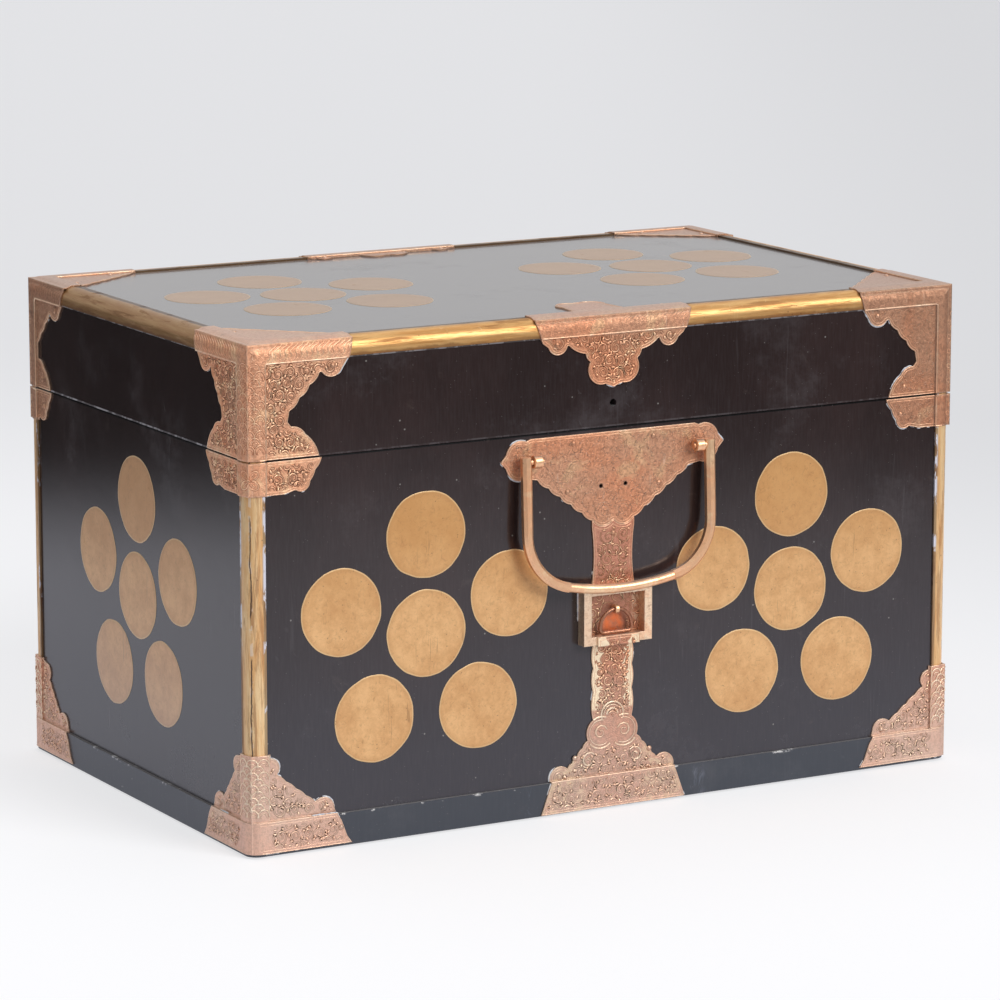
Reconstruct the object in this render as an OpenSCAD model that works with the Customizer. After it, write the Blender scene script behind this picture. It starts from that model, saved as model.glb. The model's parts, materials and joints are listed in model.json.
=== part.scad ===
// A lacquered travelling trunk with a lift-off lid.
// The case is a box of boards between four gilt corner posts, on a low plinth.
// The lid is a shallow box whose panel sits in a frame of gilt beads.
// Copper sheet mounts wrap the corners, and each long side has a bail and a small lock frame.
// Sizes are millimetres, +Z is up, and the front is the long side that faces -Y.
// The origin lies on the floor, under the middle of the trunk.

/* [Box] */
// Width between the outer faces of the end boards
body_w = 595; // [560:5:700]
// Depth between the outer faces of the front and back boards
body_d = 374; // [340:2:460]
// Height of the case, from the floor to its rim
case_h = 286; // [270:2:340]
// Height of the lid, from its rim to the top of its beads
lid_h = 84; // [80:1:120]
// Gap between the rim of the case and the rim of the lid
lid_gap = 0.4; // [0.2:0.1:1]
// Thickness of the wall boards
board_t = 12; // [10:0.5:14]
// Thickness of the lid panel
panel_t = 11; // [8:0.5:12]
// Thickness of the floor board
floor_t = 10; // [8:0.5:14]

/* [Mouldings] */
// How far the posts and beads stand proud of the boards
mould_proud = 1.5; // [0.8:0.1:2.2]
// Radius of the rounded outer edges of the posts and beads
edge_r = 9; // [6:0.5:11]
// Height of a lid bead on the face of the lid
bead_h = 14; // [13:0.5:18]
// Width of a lid bead on the top of the lid
bead_w = 15; // [13:0.5:18]
// Height of the plinth
plinth_h = 24; // [20:0.5:28]
// How far the plinth stands proud of the boards
plinth_proud = 2.5; // [2:0.1:4]

/* [Joinery] */
// How far the floor board reaches over the plinth rails
rebate = 6; // [4:0.5:8]
// Thickness of the tongue round the lid panel
tongue_t = 4; // [3:0.5:5]
// Depth of the tongue round the lid panel
tongue_w = 5; // [3:0.5:6]
// Play of a board in its groove or rebate
joint_play = 0.2; // [0.1:0.05:0.4]
// Hairline between two beads where they are mitred
mitre_gap = 0.2; // [0.1:0.05:0.5]
// Thickness of the lip inside the rim
lip_t = 6; // [5:0.5:9]
// How far the lip rises into the lid
lip_rise = 11; // [6:1:20]
// How far the lip reaches down inside the case
lip_drop = 30; // [20:1:50]
// Gap between the lip and the boards of the lid
lip_play = 0.7; // [0.4:0.1:1.5]

/* [Sheet mounts] */
// Thickness of the copper sheet
sheet_t = 1; // [0.6:0.1:1.4]
// How far the mounts stay back from the seam and the floor
sheet_set = 0.5; // [0.3:0.1:1]
// Depth of the small scallops along the edges of the mounts
scallop = 1.4; // [0.8:0.1:2]
// Length of a foot corner along the plinth, from the edge of the trunk
foot_reach = 80; // [70:1:95]
// How much shorter the foot corners are on the ends of the trunk
foot_less = 7; // [0:1:10]
// Height of a foot corner
foot_rise = 74; // [68:1:90]
// How far the foot corners stay above the floor
foot_set = 1.8; // [0.8:0.1:3]
// Length of a seam corner along the front
seam_reach = 59; // [54:1:75]
// Height of a seam corner
seam_drop = 25; // [23:0.5:32]
// Length of a lid corner along the front, at its bead
lid_reach = 84; // [78:1:100]
// Width of a lid corner at its waist, on the front
lid_waist = 32; // [28:1:38]
// Width of a lid corner at the seam, on the front
lid_flare = 57; // [50:1:66]
// How much wider the front lid and seam corners are on the ends of the trunk
end_extra = 9; // [0:1:14]
// How much narrower the back corners are than the front ones, on the ends of the trunk
back_less = 28; // [20:1:30]
// Length of a middle lid mount along its bead
lid_mount_w = 132; // [120:2:160]
// How far a middle lid mount hangs down the lid
lid_mount_drop = 54; // [50:1:60]
// How far the front middle lid mount reaches over the top
lid_mount_top = 60; // [30:1:70]
// How far the back middle lid mount reaches over the top
back_mount_top = 30; // [28:1:70]
// Length of a middle foot mount at the floor
foot_mount_w = 124; // [116:2:150]
// Width of the straps above and below the lock frame
strap_w = 36; // [32:1:42]

/* [Handle plate] */
// Length of the straight top edge of the plate
plate_w = 132; // [124:2:150]
// Height of the plate
plate_h = 70; // [66:1:78]
// Distance from the seam down to the plate
plate_set = 3; // [2:0.5:8]
// Distance between the centres of the two open nail holes
hole_pitch = 21; // [14:1:30]
// Diameter of the open nail holes
hole_d = 3.2; // [2:0.2:3.8]

/* [Bail] */
// Distance between the two eyes of a bail
eye_pitch = 138; // [130:2:146]
// Depth of the eyes below the seam
eye_drop = 18.5; // [17:0.5:22]
// Distance from the boards out to the axis of the eyes
eye_out = 8.5; // [8:0.5:10]
// Outer diameter of an eye
eye_d = 9.6; // [9:0.2:11]
// Width of an eye along its hole
eye_w = 7; // [5:0.5:9]
// Diameter of the stem of an eye
stem_d = 4.6; // [3.5:0.1:5.5]
// Thickness of the bail bar
bar_t = 7.6; // [6:0.2:8.4]
// Diameter of the turned-in ends of the bail
pin_d = 4.6; // [4:0.1:5]
// Play of a turned-in end in its eye
pin_play = 0.4; // [0.3:0.05:0.5]
// Gap between a leg of the bail and its eye
leg_gap = 1.7; // [1:0.1:3]
// Radius of the two lower bends of the bail
bend_r = 42; // [30:1:48]
// Radius of the bowed foot of the bail
bow_r = 220; // [180:5:400]
// Gap between the resting bail and the lock frame
rest_gap = 0.3; // [0.2:0.05:0.5]

/* [Lock frame] */
// Outer width of the lock frame
frame_w = 58; // [52:1:66]
// Outer height of the lock frame
frame_h = 43.5; // [40:0.5:50]
// Width of the bars of the lock frame
frame_bar = 6.3; // [5:0.1:7]
// How far the lock frame stands out from the boards
frame_out = 9; // [8.5:0.5:15]
// Depth of the top of the lock frame below the seam
frame_drop = 117; // [110:1:124]
// How far the foot of the bail overlaps the top bar of the lock frame
rest_lap = 4.4; // [1:0.2:5]
// Outer width of the lock ring
ring_w = 29; // [24:0.5:34]
// Thickness of the wire of the lock ring
ring_wire = 2.2; // [1.8:0.1:2.8]
// Radius of the lower bends of the lock ring
ring_bend = 3; // [2.5:0.1:4]
// Distance from the boards out to the axis of the lock ring
ring_out = 5.5; // [5:0.1:8]
// Depth of the ring's axis below the opening's top
ring_drop = 12; // [8:0.5:13]
// Gap below the hanging ring
ring_gap = 0.6; // [0.4:0.1:2]
// Play of the ring in its eye
ring_play = 0.5; // [0.3:0.1:0.8]
// Outer diameter of the ring's eye
lock_eye_d = 7; // [6:0.2:8]
// Width of the ring's eye along its hole
lock_eye_w = 3.5; // [2:0.5:4]
// Diameter of the stem of the ring's eye
lock_stem_d = 3; // [2:0.2:4]

/* [Nails] */
// Diameter of a nail head
nail_head_d = 4.4; // [3.4:0.2:5]
// Height of a nail head
nail_head_h = 1.2; // [0.8:0.1:1.4]
// Diameter of a nail shank
nail_d = 1.6; // [1.2:0.1:2]
// Length of a nail shank
nail_l = 9; // [5:0.5:9]
// Play of a nail in its hole
nail_play = 0.1; // [0.05:0.05:0.2]
// Diameter of the empty pin hole in the lid
lid_hole_d = 5.6; // [4:0.2:7]
// Depth of the empty pin hole in the lid
lid_hole_l = 8; // [5:0.5:9]
// Height of the empty pin hole above the rim of the lid
lid_hole_h = 17.5; // [12:0.5:22]

/* [Crests] */
// Radius of one gilt disc
disc_r = 32.5; // [26:0.5:33]
// Distance from the middle disc to the five discs round it
crest_r = 72.5; // [67:0.5:76]
// Thickness of a gilt disc
disc_t = 0.3; // [0.2:0.05:0.5]
// Distance of the two front crests from the middle of the trunk
crest_x = 156; // [145:1:170]
// Height of the front crests above the floor
crest_z = 148.5; // [144:0.5:156]
// Height of the end crests above the floor
end_crest_z = 156; // [148:0.5:160]
// Distance of the two lid crests from the middle of the trunk
lid_crest_x = 152; // [140:1:166]
// How far the lid crests lie behind the middle of the lid
lid_crest_y = 12; // [0:1:20]

/* [Hidden] */
$fn = 72;

// Colours of the finishes
lacquer = "#241a17";
lacquer_inside = "#3a1712";
gilt = "#b8872f";
copper = "#bd8c6c";
bright_copper = "#c77f58";

// Levels of the lid
lid_z = case_h + lid_gap;
top_z = lid_z + lid_h;
panel_z = top_z - mould_proud;
bead_z = top_z - bead_h;

// Outer faces of the mouldings, from the middle of the trunk
edge_x = body_w / 2 + mould_proud;
edge_y = body_d / 2 + mould_proud;
// Inner faces of the boards, from the middle of the trunk
in_x = body_w / 2 - board_t;
in_y = body_d / 2 - board_t;

// Levels of the fittings on the long sides
plate_z = case_h - plate_set;
eye_z = case_h - eye_drop;
frame_top = case_h - frame_drop;
frame_foot = frame_top - frame_h;
frame_gap_w = frame_w - 2 * frame_bar;
frame_gap_top = frame_top - frame_bar;
frame_gap_foot = frame_foot + frame_bar;
ring_z = frame_gap_top - ring_drop;

// The bar of the bail thins a little from the legs to the bends, and again to its round foot
thinning = 0.2;
bend_t = bar_t - thinning;
foot_t = bend_t - thinning;

// The bail hangs from its eyes and leans on the front of the lock frame
bail_x = eye_pitch / 2 + eye_w / 2 + leg_gap + bar_t / 2;
bail_fall = eye_z - frame_top + rest_lap - foot_t / 2;
bail_push = frame_out + rest_gap + foot_t / 2 - eye_out;
bail_lean = asin(bail_push / norm([bail_fall, bail_push]));
bail_drop = norm([bail_fall, bail_push]);

// The bow is tangent to both bends
bend_x = bail_x - bend_r;
bend_v = bail_drop - bow_r + sqrt(pow(bow_r - bend_r, 2) - pow(bend_x, 2));
bow_a = asin(bend_x / (bow_r - bend_r));
// Angle by which each thinner stretch of the bar runs on inside the thicker one
run_on = 0.2;

// How much wider than on the front, and how long at its bead, a mount is on the ends of the trunk
function end_grow(back) = back ? end_extra - back_less : end_extra;
function end_lid_reach(back) = back ? lid_reach + end_extra - back_less : lid_reach;

// How deep a cutting outline reaches, past the bead, and how far out
reach_in = bead_w - mould_proud + sheet_t;
reach_out = 12;
// Margin by which one solid is cut through another
over = 1;

// Helpers that repeat a piece at the four corners and on the two long sides

module at_corner(right, back) {
    mirror_if(right, [1, 0, 0]) mirror_if(back, [0, 1, 0]) children();
}

module mirror_if(yes, axis) {
    if (yes) mirror(axis) children();
    else children();
}

module at_back() {
    rotate([0, 0, 180]) children();
}

module at_both_sides() {
    children();
    at_back() children();
}

module at_four_corners() {
    for (right = [false, true], back = [false, true]) at_corner(right, back) children();
}

// Helpers that lay flat work on a face of the trunk

// Stands an outline drawn in x and z up along the front, from the inside out
module front_cut() {
    translate([0, -body_d / 2 + reach_in, 0]) rotate([90, 0, 0])
        linear_extrude(reach_in + reach_out) children();
}

// Stands an outline drawn in y and z up along the left end
module left_cut() {
    translate([-body_w / 2 - reach_out, 0, 0]) rotate([90, 0, 90])
        linear_extrude(reach_in + reach_out) children();
}

// Places a piece on the front, on the left end or on the lid, with its +Z outwards
module on_front(x, z, out) {
    translate([x, -body_d / 2 - out, z]) rotate([90, 0, 0]) children();
}

module on_left(y, z, out) {
    translate([-body_w / 2 - out, y, z]) rotate([0, -90, 0]) children();
}

module on_lid(x, y, out) {
    translate([x, y, panel_z + out]) children();
}

// Plain outlines

module round_rect(w, d, r) {
    square([w, d - 2 * r], center = true);
    square([w - 2 * r, d], center = true);
    for (x = [-1, 1], y = [-1, 1]) translate([x * (w / 2 - r), y * (d / 2 - r)]) circle(r = r);
}

module round_top_rect(w, h, r) {
    translate([-w / 2, 0]) square([w, h - r]);
    translate([-w / 2 + r, 0]) square([w - 2 * r, h]);
    for (x = [-1, 1]) translate([x * (w / 2 - r), h - r]) circle(r = r);
}

module box(x0, x1, y0, y1, z0, z1) {
    translate([x0, y0, z0]) cube([x1 - x0, y1 - y0, z1 - z0]);
}

// A row of n shallow arcs along the line from a to b. The sheet lies on the right of that line
module scallops(a, b, n, depth) {
    step = (b - a) / n;
    half = norm(step) / 2;
    r = (half * half + depth * depth) / (2 * depth);
    inward = [step.y, -step.x] / (2 * half);
    for (i = [0 : n - 1]) translate(a + step * (i + 0.5) + inward * (r - depth)) circle(r = r);
}

module lobe(x, y, r) {
    translate([x, y]) circle(r = r);
}

module both_halves() {
    children();
    mirror([1, 0]) children();
}

// The outer form of the case and of the lid, grown by g, which the sheet mounts wrap

module case_form(g, z0, z1) {
    box(-body_w / 2 - g, body_w / 2 + g, -body_d / 2 - g, body_d / 2 + g, z0, z1);
    translate([0, 0, z0]) linear_extrude(z1 - z0) post_sections(g);
    translate([0, 0, z0]) linear_extrude(plinth_h + g - z0) plinth_outline(g);
}

module plinth_outline(g) {
    round_rect(body_w + 2 * (plinth_proud + g), body_d + 2 * (plinth_proud + g), edge_r + g);
}

// The four corner posts, cut across
module post_sections(g) {
    intersection() {
        round_rect(2 * (edge_x + g), 2 * (edge_y + g), edge_r + g);
        corner_squares(g);
    }
}

// Squares that start at the inner corners of the posts and reach out past the trunk
module corner_squares(g) {
    s = 2 * board_t;
    for (x = [-1, 1], y = [-1, 1])
        translate([x * (in_x - g + s / 2), y * (in_y - g + s / 2)]) square(s, center = true);
}

// The rounded block that the posts and beads of the lid are cut from
module lid_block(g, z0) {
    w = 2 * (edge_x + g);
    d = 2 * (edge_y + g);
    h = top_z + g - z0;
    intersection() {
        translate([0, 0, z0]) linear_extrude(h) round_rect(w, d, edge_r + g);
        translate([0, d, z0]) rotate([90, 0, 0]) linear_extrude(2 * d) round_top_rect(w, h, edge_r + g);
        translate([-w, 0, z0]) rotate([90, 0, 90]) linear_extrude(2 * w) round_top_rect(d, h, edge_r + g);
    }
}

// The opening inside the frame of beads, from z0 up, made smaller by g
module bead_opening(g, z0) {
    x = edge_x - bead_w - g;
    y = edge_y - bead_w - g;
    box(-x, x, -y, y, z0, top_z + reach_out);
}

module lid_form(g, z0) {
    box(-body_w / 2 - g, body_w / 2 + g, -body_d / 2 - g, body_d / 2 + g, z0, panel_z + g);
    difference() {
        lid_block(g, bead_z - g);
        bead_opening(g, bead_z - g - over);
    }
    intersection() {
        lid_block(g, z0);
        translate([0, 0, z0]) linear_extrude(lid_h) corner_squares(g);
    }
}

// The thin skin that the copper sheet makes over the case and over the lid

module case_sheet() {
    difference() {
        case_form(sheet_t, sheet_set, case_h - sheet_set);
        case_form(0, -over, case_h + over);
    }
}

module lid_sheet() {
    difference() {
        lid_form(sheet_t, lid_z + sheet_set);
        lid_form(0, lid_z - over);
    }
}

// Outlines of the mounts. Those of the corners start at the outer edge of a post

module foot_flap(shift, less) {
    end_r = 9;
    tip_r = 7.2;
    reach = foot_reach - less;
    end = [reach - 22, plinth_h + 4.5];
    tip = [16 + shift, foot_rise - tip_r - 3];
    high = tip + [4.5, -5];
    low = end + [-6, 6];
    polygon([
        [-reach_out, foot_set], [reach, foot_set], [reach - 4, plinth_h * 0.3], [reach - 8.5, plinth_h * 0.8],
        [reach - 11.5, plinth_h], end + [8, 3], low, high, [tip.x, tip.y + tip_r - 0.4], [12, foot_rise],
        [-reach_out, foot_rise]
    ]);
    lobe(end.x, end.y, end_r);
    lobe(tip.x, tip.y, tip_r);
    scallops(high, low, 4, scallop / 2);
}

module seam_flap(extra) {
    end_r = 7;
    reach = seam_reach + extra;
    low = case_h - seam_drop + 0.4;
    notch = [reach - 10.5, low + 7];
    polygon([
        [-reach_out, case_h], [reach, case_h], notch, [reach - 14, low + 4], [reach - 22.5, low + 2],
        [reach - 30, low], [-reach_out, low]
    ]);
    lobe(reach - 16.5, low + end_r + 0.8, end_r);
    scallops([reach, case_h], notch, 2, scallop * 0.6);
}

module lid_flap(extra, reach) {
    end_r = 9;
    end = [reach - 17, top_z - bead_h - 5];
    low = end + [-9.4, -4.8];
    waist = [lid_waist + extra, lid_z + 26.5];
    high = waist + [1.5, 8];
    hook = waist + [2.8, -3.6];
    bend = waist + [14, -9.5];
    foot = [lid_flare + extra, lid_z];
    polygon([
        [-reach_out, lid_z], foot, bend, hook, waist, high, low, end + [-5, -5], end + [6.2, -6.2],
        [reach - 7.5, top_z - bead_h - 6.5], [reach - 3, top_z - bead_h], [reach, top_z - 2],
        [reach, top_z + reach_out], [-reach_out, top_z + reach_out]
    ]);
    lobe(end.x, end.y, end_r);
    scallops(low, high, 3, scallop);
    scallops(hook, bend, 1, scallop * 1.4);
    scallops(bend, foot, 1, scallop * 1.4);
}

// Drawn in x and y, from the outer corner of the lid
module lid_top_flap(end_reach) {
    near = bead_w + 4;
    a = [near, end_reach - 5];
    b = [lid_reach - 5, near];
    polygon([
        [edge_r, edge_r], [lid_reach, edge_r], [lid_reach - 2, bead_w + 1], b,
        a, [bead_w + 1, end_reach - 2], [edge_r, end_reach]
    ]);
    scallops(a, b, 5, scallop);
}

module lid_mount_flap() {
    end_r = 8.2;
    leaf_r = 11.5;
    w = lid_mount_w / 2;
    z = top_z;
    tip = top_z - lid_mount_drop;
    end = [w - 19, top_z - bead_h - 5.5];
    cusp = end + [-8.8, -1.5];
    neck = [18.5, tip + 19];
    shoulder = neck + [5, 6.5];
    both_halves() {
        polygon([
            [0, z + reach_out], [w, z + reach_out], [w, z - 2], [w - 4, z - bead_h],
            [w - 6.5, z - bead_h - 4.5], end + [7, -3], end + [-5, -4], cusp, shoulder, neck,
            [8, tip + 2.5], [0, tip - 0.5]
        ]);
        lobe(end.x, end.y, end_r);
        lobe(leaf_r - 1.5, tip + leaf_r + 1.8, leaf_r);
        scallops(cusp, shoulder, 1, scallop);
        scallops(shoulder, neck, 1, scallop);
    }
}

// Drawn in x and y, from the front edge of the lid
module lid_mount_top_flap(reach) {
    end_r = 8;
    leaf_r = 11;
    w = lid_mount_w / 2;
    near = bead_w + 3;
    both_halves() {
        polygon([
            [0, edge_r], [w, edge_r], [w, bead_w], [w - 6, near], [22, near],
            [18, reach - leaf_r], [0, reach - 1]
        ]);
        lobe(w - 14, bead_w, end_r);
        lobe(leaf_r - 2, reach - leaf_r, leaf_r);
    }
}

// The right half of the handle plate
module plate_half() {
    ear_r = 12;
    cloud_r = 10;
    ear = [eye_pitch / 2 + 9.5, eye_z];
    low = plate_z - plate_h;
    shoulder = [plate_w / 2 - 2, plate_z - 31];
    foot = [17, low + 4.5];
    polygon([
        [0, plate_z], [plate_w / 2 + 4, plate_z], ear + [0, 12], ear + [9, 8.5], ear + [16.5, 0],
        ear + [9, -8], ear + [0, -13], shoulder, foot, [0, low + 4]
    ]);
    lobe(ear.x, ear.y + 3, ear_r);
    lobe(ear.x, ear.y - 2.5, ear_r);
    lobe(cloud_r - 1.5, low + cloud_r, cloud_r);
    scallops(shoulder, foot, 5, scallop);
}

// The strap narrows to a waist between the handle plate and the lock frame
module upper_strap_outline() {
    top = plate_z - plate_h + 14;
    mid = (frame_top + plate_z - plate_h) / 2;
    hollow_r = 140;
    difference() {
        translate([-strap_w / 2, frame_top - over]) square([strap_w, top - frame_top + over]);
        for (x = [-1, 1]) translate([x * (strap_w / 2 - 1.6 + hollow_r), mid]) circle(r = hollow_r);
        translate([0, -joint_play]) both_halves() plate_half();
    }
}

module foot_mount_outline() {
    end_r = 9;
    cloud_r = 12;
    curl_r = 8.5;
    w = foot_mount_w / 2;
    half = strap_w / 2 - scallop;
    end = [w - 17.5, plinth_h + 2.5];
    cusp = end + [-5.7, 5];
    cloud = [cloud_r - 2, plinth_h + 33];
    turn = [21, cloud.y - 5];
    top = frame_foot - sheet_t;
    nick = top - 36;
    both_halves() {
        polygon([
            [0, 0], [w, 0], [w - 7, plinth_h * 0.8], [w - 9, plinth_h], end + [7.5, 2], cusp, turn,
            [half, cloud.y + 3], [half, top], [0, top]
        ]);
        lobe(end.x, end.y, end_r);
        lobe(cloud.x, cloud.y, cloud_r);
        lobe(curl_r, cloud.y - 7, curl_r);
        scallops(turn, cusp, 4, scallop * 0.6);
        intersection() {
            union() {
                scallops([half, top], [half, nick], 2, scallop);
                scallops([half, nick], [half, cloud.y + 10], 1, scallop);
            }
            translate([0, cloud.y]) square([strap_w / 2, top - cloud.y]);
        }
    }
}

// Nails, each drawn at the face of its sheet with +Z outwards

module nail() {
    ball_r = (pow(nail_head_d / 2, 2) + pow(nail_head_h, 2)) / (2 * nail_head_h);
    intersection() {
        translate([0, 0, nail_head_h - ball_r]) sphere(r = ball_r);
        cylinder(d = nail_head_d + over, h = nail_head_h + over);
    }
    translate([0, 0, -nail_l]) cylinder(d = nail_d, h = nail_l);
}

module nail_hole() {
    translate([0, 0, -nail_l - nail_play]) cylinder(d = nail_d + 2 * nail_play, h = nail_l + 2 * over);
}

module foot_nails_front() {
    on_front(-edge_x + foot_reach - 9, plinth_h * 0.58, plinth_proud + sheet_t) children();
    on_front(-edge_x + foot_reach - 21, plinth_h + 5, sheet_t) children();
}

module foot_nails_left() {
    reach = foot_reach - foot_less;
    on_left(-edge_y + reach - 9, plinth_h * 0.58, plinth_proud + sheet_t) children();
    on_left(-edge_y + reach - 21, plinth_h + 5, sheet_t) children();
}

module seam_nails_front() {
    on_front(-edge_x + seam_reach - 13, case_h - seam_drop / 2, sheet_t) children();
}

module seam_nails_left(back) {
    on_left(-edge_y + seam_reach + end_grow(back) - 13, case_h - seam_drop / 2, sheet_t) children();
}

module lid_nails_on_front() {
    on_front(-edge_x + lid_reach - 16, top_z - bead_h - 6, sheet_t) children();
    on_front(-edge_x + lid_flare - 14, lid_z + 8, sheet_t) children();
}

module lid_nails_on_left(back) {
    on_left(-edge_y + end_lid_reach(back) - 16, top_z - bead_h - 6, sheet_t) children();
    on_left(-edge_y + lid_flare + end_grow(back) - 14, lid_z + 8, sheet_t) children();
}

module lid_nails_on_top(back) {
    on_lid(-edge_x + lid_reach * 0.72, -edge_y + bead_w + 5, sheet_t) children();
    on_lid(-edge_x + bead_w + 5, -edge_y + end_lid_reach(back) * 0.72, sheet_t) children();
}

module plate_nails() {
    for (x = [-1, 1]) on_front(x * 34, plate_z - 6.5, sheet_t) children();
    for (x = [-1, 1]) on_front(x * 39, plate_z - 42, sheet_t) children();
}

module foot_mount_nails() {
    x = foot_mount_w / 2;
    for (s = [-1, 1]) on_front(s * (x - 11), plinth_h * 0.5, plinth_proud + sheet_t) children();
    for (s = [-1, 1]) on_front(s * (x - 30), plinth_h + 16, sheet_t) children();
    for (s = [-1, 1]) on_front(s * 10, frame_foot - 23, sheet_t) children();
}

module strap_nail() {
    on_front(0, plate_z - plate_h - 6, sheet_t) children();
}

module lid_mount_nails() {
    for (s = [-1, 1]) on_front(s * (lid_mount_w / 2 - 18), top_z - bead_h - 6, sheet_t) children();
    on_front(0, top_z - lid_mount_drop + 8, sheet_t) children();
}

module lid_mount_top_nails() {
    for (s = [-1, 1]) on_lid(s * (lid_mount_w / 2 - 14), -edge_y + bead_w + 4, sheet_t) children();
}

// Gathered by the board that they are driven into

module case_front_nails() {
    plate_nails() children();
    strap_nail() children();
    foot_mount_nails() children();
    for (right = [false, true]) mirror_if(right, [1, 0, 0]) {
        foot_nails_front() children();
        seam_nails_front() children();
    }
}

module case_left_nails() {
    for (back = [false, true]) mirror_if(back, [0, 1, 0]) {
        foot_nails_left() children();
        seam_nails_left(back) children();
    }
}

module lid_front_nails() {
    lid_mount_nails() children();
    for (right = [false, true]) mirror_if(right, [1, 0, 0]) lid_nails_on_front() children();
}

module lid_left_nails() {
    for (back = [false, true]) mirror_if(back, [0, 1, 0]) lid_nails_on_left(back) children();
}

module lid_top_nails() {
    for (right = [false, true], back = [false, true]) at_corner(right, back) lid_nails_on_top(back) children();
    at_both_sides() lid_mount_top_nails() children();
}

// Empty holes left by the lost hasp and its keeper

module keeper_holes() {
    for (x = [-1, 1]) on_front(x * hole_pitch / 2, plate_z - 40, sheet_t)
        translate([0, 0, -nail_l]) cylinder(d = hole_d, h = nail_l + over);
}

module lid_hole() {
    on_front(0, lid_z + lid_hole_h, 0)
        translate([0, 0, -lid_hole_l]) cylinder(d = lid_hole_d, h = lid_hole_l + over);
}

// Ring staples: an eye whose hole runs along X, on a stem driven into the board

module staple(out, head_d, bore_d, width, shank_d) {
    wall = (head_d - bore_d) / 2;
    round_r = wall * 0.4;
    rotate([0, 90, 0]) rotate_extrude() translate([bore_d / 2, 0]) {
        translate([0, -width / 2 + round_r]) square([wall, width - 2 * round_r]);
        translate([0, -width / 2]) square([wall - round_r, width]);
        for (y = [-1, 1]) translate([wall - round_r, y * (width / 2 - round_r)]) circle(r = round_r);
    }
    translate([0, (bore_d + wall) / 2, 0]) rotate([-90, 0, 0])
        cylinder(d = shank_d, h = out - (bore_d + wall) / 2 + nail_l);
}

module stem_hole(x, z, shank_d) {
    depth = nail_l + nail_play;
    on_front(x, z, -depth) cylinder(d = shank_d + 2 * nail_play, h = depth + sheet_t + over);
}

module staple_holes() {
    for (x = [-1, 1]) stem_hole(x * eye_pitch / 2, eye_z, stem_d);
    stem_hole(0, ring_z, lock_stem_d);
}

module staples_node() {
    color(copper) {
        for (x = [-1, 1]) translate([x * eye_pitch / 2, -body_d / 2 - eye_out, eye_z])
            staple(eye_out, eye_d, pin_d + 2 * pin_play, eye_w, stem_d);
        translate([0, -body_d / 2 - ring_out, ring_z])
            staple(ring_out, lock_eye_d, ring_wire + 2 * ring_play, lock_eye_w, lock_stem_d);
    }
}

// The case

module floor_board_node() {
    x = in_x + rebate - joint_play;
    y = in_y + rebate - joint_play;
    color(lacquer_inside) box(-x, x, -y, y, plinth_h - floor_t, plinth_h);
}

module front_board_node() {
    color(lacquer) difference() {
        box(-in_x, in_x, -body_d / 2, -in_y, plinth_h, case_h);
        case_front_nails() nail_hole();
        staple_holes();
        keeper_holes();
    }
}

module left_board_node() {
    color(lacquer) difference() {
        box(-body_w / 2, -in_x, -in_y, in_y, plinth_h, case_h);
        case_left_nails() nail_hole();
    }
}

// The post at the front left corner, between two levels
module post(z0, z1) {
    color(gilt) translate([0, 0, z0]) linear_extrude(z1 - z0) intersection() {
        post_sections(0);
        translate([-body_w, -body_d]) square([body_w, body_d]);
    }
}

// One rail of the plinth, whose plan is given by its two outer and two inner corners
module plinth_rail(plan) {
    x = in_x + rebate;
    y = in_y + rebate;
    color(lacquer) difference() {
        linear_extrude(plinth_h) intersection() {
            plinth_outline(0);
            polygon(plan);
        }
        box(-x, x, -y, y, plinth_h - floor_t, plinth_h + over);
    }
}

module plinth_front_node() {
    x = body_w / 2 + plinth_proud;
    y = body_d / 2 + plinth_proud;
    difference() {
        plinth_rail([[-x, -y], [x, -y], [in_x, -in_y], [-in_x, -in_y]]);
        case_front_nails() nail_hole();
    }
}

module plinth_left_node() {
    x = body_w / 2 + plinth_proud;
    y = body_d / 2 + plinth_proud;
    difference() {
        plinth_rail([[-x, y], [-x, -y], [-in_x, -in_y], [-in_x, in_y]]);
        case_left_nails() nail_hole();
    }
}

// A lip strip stands against its board and steps back above the rim, clear of the lid

module rim_lip_front_node() {
    x = in_x - lip_play;
    color(lacquer_inside) {
        box(-in_x, in_x, -in_y, -in_y + lip_t, case_h - lip_drop, case_h);
        box(-x, x, -in_y + lip_play, -in_y + lip_t, case_h, case_h + lip_rise);
    }
}

module rim_lip_left_node() {
    y = in_y - lip_t;
    color(lacquer_inside) {
        box(-in_x, -in_x + lip_t, -y, y, case_h - lip_drop, case_h);
        box(-in_x + lip_play, -in_x + lip_t, -y, y, case_h, case_h + lip_rise);
    }
}

// Copper mounts of the case, at the front left corner or on the front

module seam_corner_node(back) {
    color(copper) difference() {
        intersection() {
            case_sheet();
            union() {
                front_cut() translate([-edge_x, 0]) seam_flap(0);
                left_cut() translate([-edge_y, 0]) seam_flap(end_grow(back));
            }
        }
        seam_nails_front() nail_hole();
        seam_nails_left(back) nail_hole();
    }
}

module foot_corner_node() {
    color(copper) difference() {
        intersection() {
            case_sheet();
            union() {
                front_cut() translate([-edge_x, 0]) foot_flap(0, 0);
                left_cut() translate([-edge_y, 0]) foot_flap(end_extra * 0.6, foot_less);
            }
        }
        foot_nails_front() nail_hole();
        foot_nails_left() nail_hole();
    }
}

// Flat sheet on the front, of a given outline
module flat_sheet() {
    on_front(0, 0, 0) linear_extrude(sheet_t) children();
}

module handle_plate_node() {
    color(copper) difference() {
        for (left = [false, true]) mirror_if(left, [1, 0, 0]) flat_sheet() plate_half();
        plate_nails() nail_hole();
        staple_holes();
        keeper_holes();
    }
}

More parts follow.
